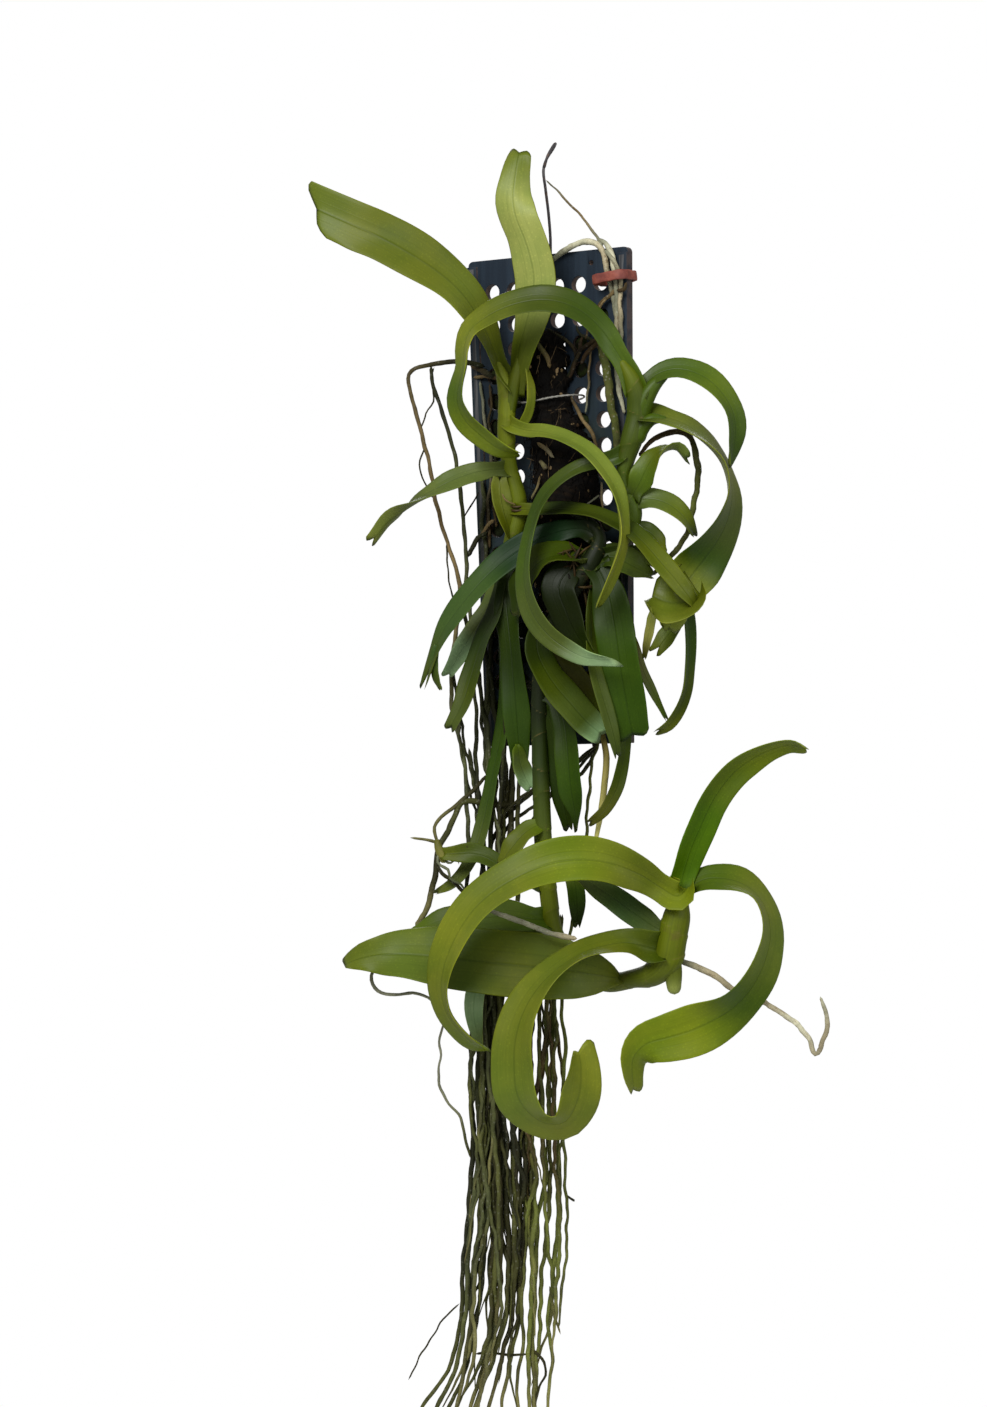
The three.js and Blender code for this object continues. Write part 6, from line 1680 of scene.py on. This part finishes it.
# %% Make the band
def make_band():
    hole = board_place(HOLE_COLUMNS[5], HOLE_ROWS[0], 0)
    ring = band_ring()
    way = np.gradient(np.vstack([ring[-2:-1], ring, ring[1:2]]), axis=0)[1:-1]
    out = np.stack([way[:, 1], -way[:, 0]], axis=1) / np.linalg.norm(way, axis=1)[:, None]
    angle = np.linspace(0, 2 * math.pi, BAND_SIDES, endpoint=False)
    deep = np.sign(np.cos(angle)) * np.abs(np.cos(angle)) ** 0.5 * BAND_HALF_THICK + BAND_HALF_THICK
    tall = np.sign(np.sin(angle)) * np.abs(np.sin(angle)) ** 0.5 * BAND_HALF_HEIGHT
    points = np.zeros((len(ring), BAND_SIDES, 3))
    flat = ring[:, None, :] + out[:, None, :] * deep[None, :, None]
    fray = 1 + 0.05 * np.sin(np.arange(len(ring)) * 0.9)[:, None]
    x, y, z = flat[..., 0], flat[..., 1], tall[None, :] * fray
    points[..., 0] = hole.x + MM * (x * math.cos(BAND_TILT) + z * math.sin(BAND_TILT))
    points[..., 1] = MM * (BOARD_FRONT + y)
    points[..., 2] = hole.z + MM * (z * math.cos(BAND_TILT) - x * math.sin(BAND_TILT) + 0.4)
    points[-1] = points[0]
    skin = Skin()
    plain = np.zeros(points.shape)
    skin.wrap(points, plain, plain[..., 0])
    return skin.finish("root_band_rubber", band_rubber, ["root_band"], "band")


make_band()


# %% Make the pad's string
SEAT_GAP = 0.35                 # mm between pieces that rest on each other
PAD_DEPTH, PAD_ROUGH = 6.0, 1.1
STRING_RADIUS, STRING_RINGS = 0.4, 260
STRING_TWIST = 2600             # radians a metre


def make_pad_string():
    left = board_place(HOLE_COLUMNS[1], HOLE_ROWS[4], 0) / MM
    right = board_place(HOLE_COLUMNS[4], HOLE_ROWS[4], 0) / MM
    front = BOARD_FRONT - SEAT_GAP - PAD_DEPTH - PAD_ROUGH - SEAT_GAP - STRING_RADIUS
    behind = BOARD_BACK + SEAT_GAP + STRING_RADIUS
    points = [(left.x + 6, behind, left.z - 2), (left.x + 1.6, behind + 0.1, left.z - 0.6),
              (left.x, BOARD_FRONT + 1.8, left.z), (left.x + 0.3, BOARD_FRONT - 2.6, left.z),
              (left.x + 3.5, front + 1, left.z - 1), (left.x + 9, front, left.z - 1.8),
              (right.x - 10, front, right.z - 1), (right.x - 3.5, front + 1, right.z - 0.4),
              (right.x - 0.3, BOARD_FRONT - 2.6, right.z), (right.x, BOARD_FRONT + 1.8, right.z),
              (right.x - 1.6, behind + 0.1, right.z - 0.6), (right.x - 6, behind, right.z - 2)]
    line, length = smooth_line([Vector(point) * MM for point in points], STRING_RINGS)
    print("string length, mm:", round(length / MM))
    angle = np.linspace(0, 2 * math.pi, CORD_SIDES, endpoint=False)
    twist = line.shares[:, None] * length * STRING_TWIST
    radius = STRING_RADIUS * MM * (1 + 0.16 * np.cos(2 * angle[None, :] - twist))
    skin = Skin()
    add_plain_tube(skin, line, radius)
    return skin.finish("pad_string_twine", twine, ["pad_string"], "string")


make_pad_string()

# %% [markdown]
# ## The fibre pad
#
# The pad is a dense mat of fern fibre and root rubbish, nearly black, with a few lighter
# chips. A lumpy closed body carries it, and loose fibres and chips lie over its surface. The
# fibres are few-sided tubes, because there are hundreds of them.

# %% Shape the fibre pad
PAD_BORDERS = [                 # up, left border and right border, from the foot, in mm
    (-216, 2, 12.5), (-205, -1.5, 16), (-186, -8, 19.5), (-168, -10, 22), (-153, -10, 23),
    (-141, -8, 22), (-130, -10, 19.5), (-119, -12, 13.5), (-111, -11, 9), (-100, -12, 7.5),
    (-89, -12, 6.5), (-79, -8, 2)
]


def pad_point(v, angle):
    """A place on the pad's surface: v from foot to top, angle round it, in millimetres."""
    height = eased([row[0] for row in PAD_BORDERS], v)
    left = eased([row[1] for row in PAD_BORDERS], v)
    right = eased([row[2] for row in PAD_BORDERS], v)
    c, s = math.cos(angle), math.sin(angle)
    x = (left + right) / 2 + (right - left) / 2 * math.copysign(abs(c) ** 0.7, c)
    ends = min(1.0, 14 * v, 14 * (1 - v)) ** 0.5
    lumps = (math.sin(x * 0.9 + height * 0.35) + math.sin(height * 0.8 - x * 0.4)
             + 0.7 * math.sin(x * 2.1) * math.sin(height * 1.7))
    deep = PAD_DEPTH * ends + 0.42 * lumps
    y = BOARD_FRONT - SEAT_GAP - (deep * abs(s) ** 0.5 if s > 0 else 0.0)
    ragged = (1.0 * math.sin(height * 0.7 + 3 * c) + 0.8 * math.sin(height * 1.9 + 4 * c)
              + 0.6 * math.sin(height * 4.1))
    return Vector((x + ragged * abs(c), y, height))


print("pad surface ready")

# %% Define the pad's body
PAD_RINGS, PAD_SIDES = 96, 48


def make_pad_body(chance):
    points = np.zeros((PAD_RINGS + 1, PAD_SIDES, 3))
    tints = np.zeros_like(points)
    for i in range(PAD_RINGS + 1):
        for j in range(PAD_SIDES):
            place = pad_point(i / PAD_RINGS, 2 * math.pi * j / PAD_SIDES)
            grit = 0.25 * (chance.random() - 0.5) if 0 < j < PAD_SIDES // 2 else 0.0
            points[i, j] = MM * (place + Vector((0, grit, 0)))
            tints[i, j] = 0.3 * blend_hues(["fibre black", "fibre black", "fibre brown"],
                                           chance.random() ** 2)
    points[0], points[-1] = points[0].mean(axis=0), points[-1].mean(axis=0)
    skin = Skin()
    skin.wrap(points, tints, np.zeros((PAD_RINGS + 1, PAD_SIDES)))
    return skin.finish("fibre_pad_body", pad_body, ["fibre_pad"], "fibre")


print("rings on the pad's body:", PAD_RINGS)

# %% Define a loose fibre and a chip
FIBRE_RINGS, FIBRE_SIDES = 8, 3


def add_fibre(skin, chance):
    """A loose fibre: a three-sided tube, of which a few stand out at their ends."""
    v, angle = chance.uniform(0.02, 0.98), chance.uniform(0.25, math.pi - 0.25)
    slant, length = chance.gauss(0, 0.8), chance.uniform(3, 12)
    start = pad_point(v, angle)
    places = []
    for way in (k / 3 - 0.5 for k in range(4)):
        here = start + Vector((length * way * math.sin(slant), 0, length * way * math.cos(slant)))
        bow = chance.uniform(0.0, 1.0) * (1 - abs(way)) + (chance.random() < 0.15) * way ** 2 * 6
        places.append(MM * Vector((here.x + chance.gauss(0, 0.3), start.y - bow, here.z)))
    tint = 0.7 * blend_hues(["fibre black", "fibre black", "chip"], chance.random() ** 4)
    radius = np.full((FIBRE_RINGS, FIBRE_SIDES), chance.uniform(0.09, 0.2) * MM)
    line, _ = smooth_line(places, FIBRE_RINGS - 1)
    tints = np.broadcast_to(tint, (*radius.shape, 3))
    add_tube(skin, line, radius, tints, np.zeros_like(radius))


def add_chip(skin, chance):
    """A crumb of bark or old root, made from a dented sphere."""
    place = pad_point(chance.uniform(0.05, 0.95), chance.uniform(0.35, math.pi - 0.35))
    made = bmesh.ops.create_icosphere(skin.bm, subdivisions=1, radius=1.0, calc_uvs=True)
    tint = blend_hues(["fibre brown", "chip", "tan"], chance.random())
    size = Vector([chance.uniform(*span) for span in ((0.4, 1.3), (0.3, 0.6), (0.4, 1.6))])
    for vert in made["verts"]:
        shape = vert.co * size - Vector((0, 0.2, 0))
        vert.co = MM * (place + shape * chance.uniform(0.7, 1.2))
        vert[skin.tint] = (*tint, 1.0)


print("sides of a fibre:", FIBRE_SIDES)

# %% Make the fibre pad
FIBRES, CHIPS = 620, 46


def make_pad():
    """The body first, then what lies loose on it, all from one row of chances."""
    chance = random.Random(8)
    make_pad_body(chance)
    loose = Skin()
    for _ in range(FIBRES):
        add_fibre(loose, chance)
    for _ in range(CHIPS):
        add_chip(loose, chance)
    return loose.finish("fibre_pad_hair", pad_hair, ["fibre_pad"], "fibre")


make_pad()

# %% [markdown]
# ## Old roots on the board
#
# Dead and living roots cling to the board round the pad and down its left edge. Dark lumps
# plug many of the holes: moss, and painted shade for the holes that the plant shades. The roots'
# routes are drawn across and up on the sketch grid; the depth follows from how far they stand
# off the board's front, so that no root sinks into it.

# %% Write the clinging roots' routes
CLINGING_ROOTS = [
    # hues, stand-off in mm, then across, up and radius in grid steps
    ("black, fibre brown", 1.4, [
        (-3.2, -106, 0.7), (8.4, -113, 1), (13.1, -121, 1.1), (12.2, -131, 1), (7, -138, 0.8)]),
    ("fibre brown, black", 1.6, [
        (18.8, -109, 0.6), (16.9, -114, 1.2), (15, -121, 1.3), (11.2, -128, 1.2),
        (8.4, -135, 0.8)]),
    ("brown, fibre black", 2.2, [
        (31, -112, 0.8), (25, -113, 1.3), (18, -117, 1.2), (13, -122, 0.8)]),
    ("brown, fibre brown", 2.6, [
        (28, -110, 0.7), (24, -116, 1.2), (20, -120, 1.4), (16, -127, 0.9)]),
    ("black", 1.6, [(14, -104, 0.6), (17, -110, 0.9), (22, -112, 1), (27, -116, 0.8)]),
    ("moss, tan", 5.6, [
        (-8.7, -114, 1.1), (-4.9, -118, 1.5), (-2.1, -124, 1.5), (-1.1, -129, 1)]),
    ("brown, tan, brown", 7.0, [
        (11, -144, 0.8), (16, -155, 1.1), (21.5, -165, 1.1), (26.5, -174.5, 0.8)]),
    ("tan, beige", 7.2, [(-8.7, -171, 0.9), (-3, -175.5, 1.3), (1.7, -180, 0.9)]),
    ("brown, dry, brown", 7.2, [(-6.8, -181, 1.2), (-3.5, -187, 1.5)]),
    ("dry, tan", 7.2, [(-11.6, -204, 0.6), (-8.7, -196, 0.8), (-6.8, -190, 0.6)]),
    ("grey", 7.0, [(18.8, -207, 0.5), (23, -204, 0.6), (27.4, -201, 0.5)]),
    ("beige, tan", 6.0, [(27.8, -193, 0.5), (28.8, -202, 0.7), (29.7, -209.5, 0.5)]),
    ("brown, black", 2.0, [(-46.7, -127, 1.3), (-40, -130, 1.7), (-32.5, -134.5, 1.5)]),
    ("tan, brown", 2.0, [(-45, -134, 0.9), (-37, -133.5, 1.2), (-30, -135, 1)]),
    ("grey, brown", 1.0, [
        (-41, -136, 0.9), (-40, -147, 0.9), (-38, -157, 0.9), (-36, -168, 0.9), (-35, -180, 1),
        (-34.5, -191, 1), (-35.5, -204, 1), (-36.5, -217, 1), (-35.3, -232, 0.8)]),
    ("brown, black, brown", 1.0, [
        (-35.5, -137.5, 0.8), (-34.4, -151, 0.8), (-36, -160, 0.8), (-32.5, -174, 0.8),
        (-32, -189, 0.8), (-33, -203, 0.8), (-31.5, -220, 0.8)]),
    ("grey green, black", 2.0, [
        (-40, -192, 1.1), (-39, -204, 1.3), (-40, -217, 1.3), (-37.3, -231, 1.2), (-38, -248, 1)]),
    ("brown, tan", 3.0, [
        (-46.7, -236, 0.8), (-43, -227, 1), (-37.3, -219, 1.1), (-32.5, -215, 1)]),
    ("tan, brown", 2.2, [
        (31.2, -89, 0.7), (26.4, -95, 0.8), (22, -103, 0.7), (19, -113, 0.6)]),
    ("grey, beige, grey", 2.0, [
        (30, -61, 1), (34, -66, 1.2), (38.3, -76, 1.2), (39.4, -92, 1.2), (39, -108, 1.2),
        (38, -122, 0.9)]),
    ("brown", 4.0, [(36.9, -84.5, 0.8), (41.6, -83.5, 1.2), (42.6, -79.5, 0.8)]),
]
print(len(CLINGING_ROOTS), "clinging roots")


# %% Make the clinging roots, and the plugs of moss and painted shade
def board_depth(across, stand_off):
    """The grid depth of a place that stands off the board's front by so many millimetres."""
    right = across - HOOK_ACROSS
    forward = (stand_off - BOARD_FRONT) * MM / GRID_STEP
    return (right * math.sin(GRID_TURN) + forward) / math.cos(GRID_TURN)


# Which holes dark lumps of moss and painted shade plug: a column, then its rows
PLUGGED = {0: range(2, 17), 1: (3, 4, 5, 9, 10, 11, 12, 13, 14, 15, 16), 2: (1, 12, 13, 14, 16),
           3: (12, 15, 16), 4: (2, 3, 5, 11, 13, 14, 15, 16), 5: (1, 2, 7, 9, 12, 13, 15, 16)}
PLUG_RADIUS, PLUG_HALF_THICK = 3.5, 1.3


def add_plug(skin, x, down, chance):
    """A dark lump in a hole, made from a flattened sphere: moss, and painted shade."""
    made = bmesh.ops.create_icosphere(skin.bm, subdivisions=2, radius=1.0, calc_uvs=True)
    # Nearly black hues: moss, and painted shade in the holes behind the leaves
    hues = [0.7 * linear("fibre black"), 0.6 * linear("dark"), 0.35 * linear("sage dark")]
    for vert in made["verts"]:
        rough = 1 + chance.uniform(-0.05, 0.12)
        shape = Vector((vert.co.x * PLUG_RADIUS, vert.co.z * PLUG_RADIUS,
                        vert.co.y * PLUG_HALF_THICK)) * rough
        vert.co = board_place(x + shape.x, down + shape.y, BOARD_FRONT + 2.2 + shape.z)
        vert[skin.tint] = (*hues[chance.randrange(3)], 1.0)


def make_clinging_roots():
    roots, moss = Skin(), Skin()
    for number, (hues, stand_off, route) in enumerate(CLINGING_ROOTS):
        rows = [(a, up, board_depth(a, stand_off + size * 0.75), size) for a, up, size in route]
        add_root(roots, rows, hues, sides=10, wander=0.4 * MM, seed=300 + number,
                 ring_gap=1.3 * MM)
    roots.finish("fibre_pad_old_roots", root_dark, ["fibre_pad"], "fibre")
    chance = random.Random(14)
    for column, rows in PLUGGED.items():
        for row in rows:
            add_plug(moss, HOLE_COLUMNS[column], HOLE_ROWS[row], chance)
    moss.finish("fibre_pad_moss_and_shade_plugs", pad_body, ["fibre_pad"], "fibre")


make_clinging_roots()

# %% [markdown]
# ## Stage, light and camera
#
# A wide soft light stands to the upper left of the camera, a weaker one fills from the right,
# and a third lights the back. The world is white to the camera, as a studio sweep would be,
# but lights the plant only softly. A picture of a studio could give the light, but lamps are
# easier to place. The camera stands level at the eye of the sketch grid.

# %% Add the floor
STAGE_MIDDLE = Vector((0.01, -0.03, 0.0))
FLOOR_HEIGHT, FLOOR_RADIUS = -0.6, 0.32


def floor_finish():
    f = Finish("pale studio floor")
    grain = f.noise(f.coordinates(), 30.0, 2.0)
    f.set(Base_Color=f.mix(grain * 0.3, (0.82, 0.82, 0.82), (0.76, 0.76, 0.765)), Roughness=0.9)
    return f.material


def add_floor():
    bm = bmesh.new()
    made = bmesh.ops.create_circle(bm, cap_ends=True, segments=96, radius=FLOOR_RADIUS)
    for vert in made["verts"]:
        vert.co += STAGE_MIDDLE + Vector((0, 0, FLOOR_HEIGHT))
    mesh = bpy.data.meshes.new("floor")
    bm.to_mesh(mesh)
    bm.free()
    mesh.materials.append(floor_finish())
    floor = bpy.data.objects.new("floor", mesh)
    bpy.context.scene.collection.objects.link(floor)


add_floor()
print("floor ready")

# %% Add the lights
LIGHT_AIM = STAGE_MIDDLE + Vector((0, 0, -0.25))
WORLD_STRENGTH = 0.4


def add_light(name, azimuth, height, distance, size, power):
    """A round soft light: its bearing from the front in degrees, metres, and watts."""
    light = bpy.data.lights.new(name, "AREA")
    light.shape = "DISK"
    light.size = size
    light.energy = power
    lamp = bpy.data.objects.new(name, light)
    bearing = math.radians(azimuth)
    lamp.location = (distance * math.sin(bearing), -distance * math.cos(bearing), height)
    lamp.rotation_euler = (LIGHT_AIM - lamp.location).to_track_quat("-Z", "Y").to_euler()
    bpy.context.scene.collection.objects.link(lamp)


def add_world():
    """A world that is white to the camera and dimmer to the plant."""
    world = bpy.data.worlds.new("white studio")
    bpy.context.scene.world = world
    world.use_nodes = True
    tree = world.node_tree
    shade = tree.nodes["Background"]
    seen_white = tree.nodes.new("ShaderNodeBackground")
    for background, strength in ((shade, WORLD_STRENGTH), (seen_white, 1.0)):
        background.inputs["Color"].default_value = (1, 1, 1, 1)
        background.inputs["Strength"].default_value = strength
    path = tree.nodes.new("ShaderNodeLightPath")
    chooser = tree.nodes.new("ShaderNodeMixShader")
    tree.links.new(path.outputs["Is Camera Ray"], chooser.inputs[0])
    tree.links.new(shade.outputs[0], chooser.inputs[1])
    tree.links.new(seen_white.outputs[0], chooser.inputs[2])
    tree.links.new(chooser.outputs[0], tree.nodes["World Output"].inputs["Surface"])


add_light("key softbox", 8, 0.75, 1.5, 0.9, 30)
add_light("fill softbox", 75, 0.1, 1.4, 0.9, 7)
add_light("back softbox", 212, 0.4, 1.5, 1.0, 9)
add_world()
print("lights ready")

# %% Add the camera
LENS_MM, SENSOR_MM = 103.2, 36.0


def add_camera():
    data = bpy.data.cameras.new("camera")
    data.lens = LENS_MM
    data.sensor_width = SENSOR_MM
    camera = bpy.data.objects.new("camera", data)
    camera.location = seen(EYE_ACROSS, EYE_UP, EYE_DISTANCE)
    camera.rotation_euler = (math.radians(90), 0, GRID_TURN)
    bpy.context.scene.collection.objects.link(camera)
    bpy.context.scene.camera = camera


add_camera()
bpy.context.scene.view_settings.view_transform = "Standard"
print("stage ready")
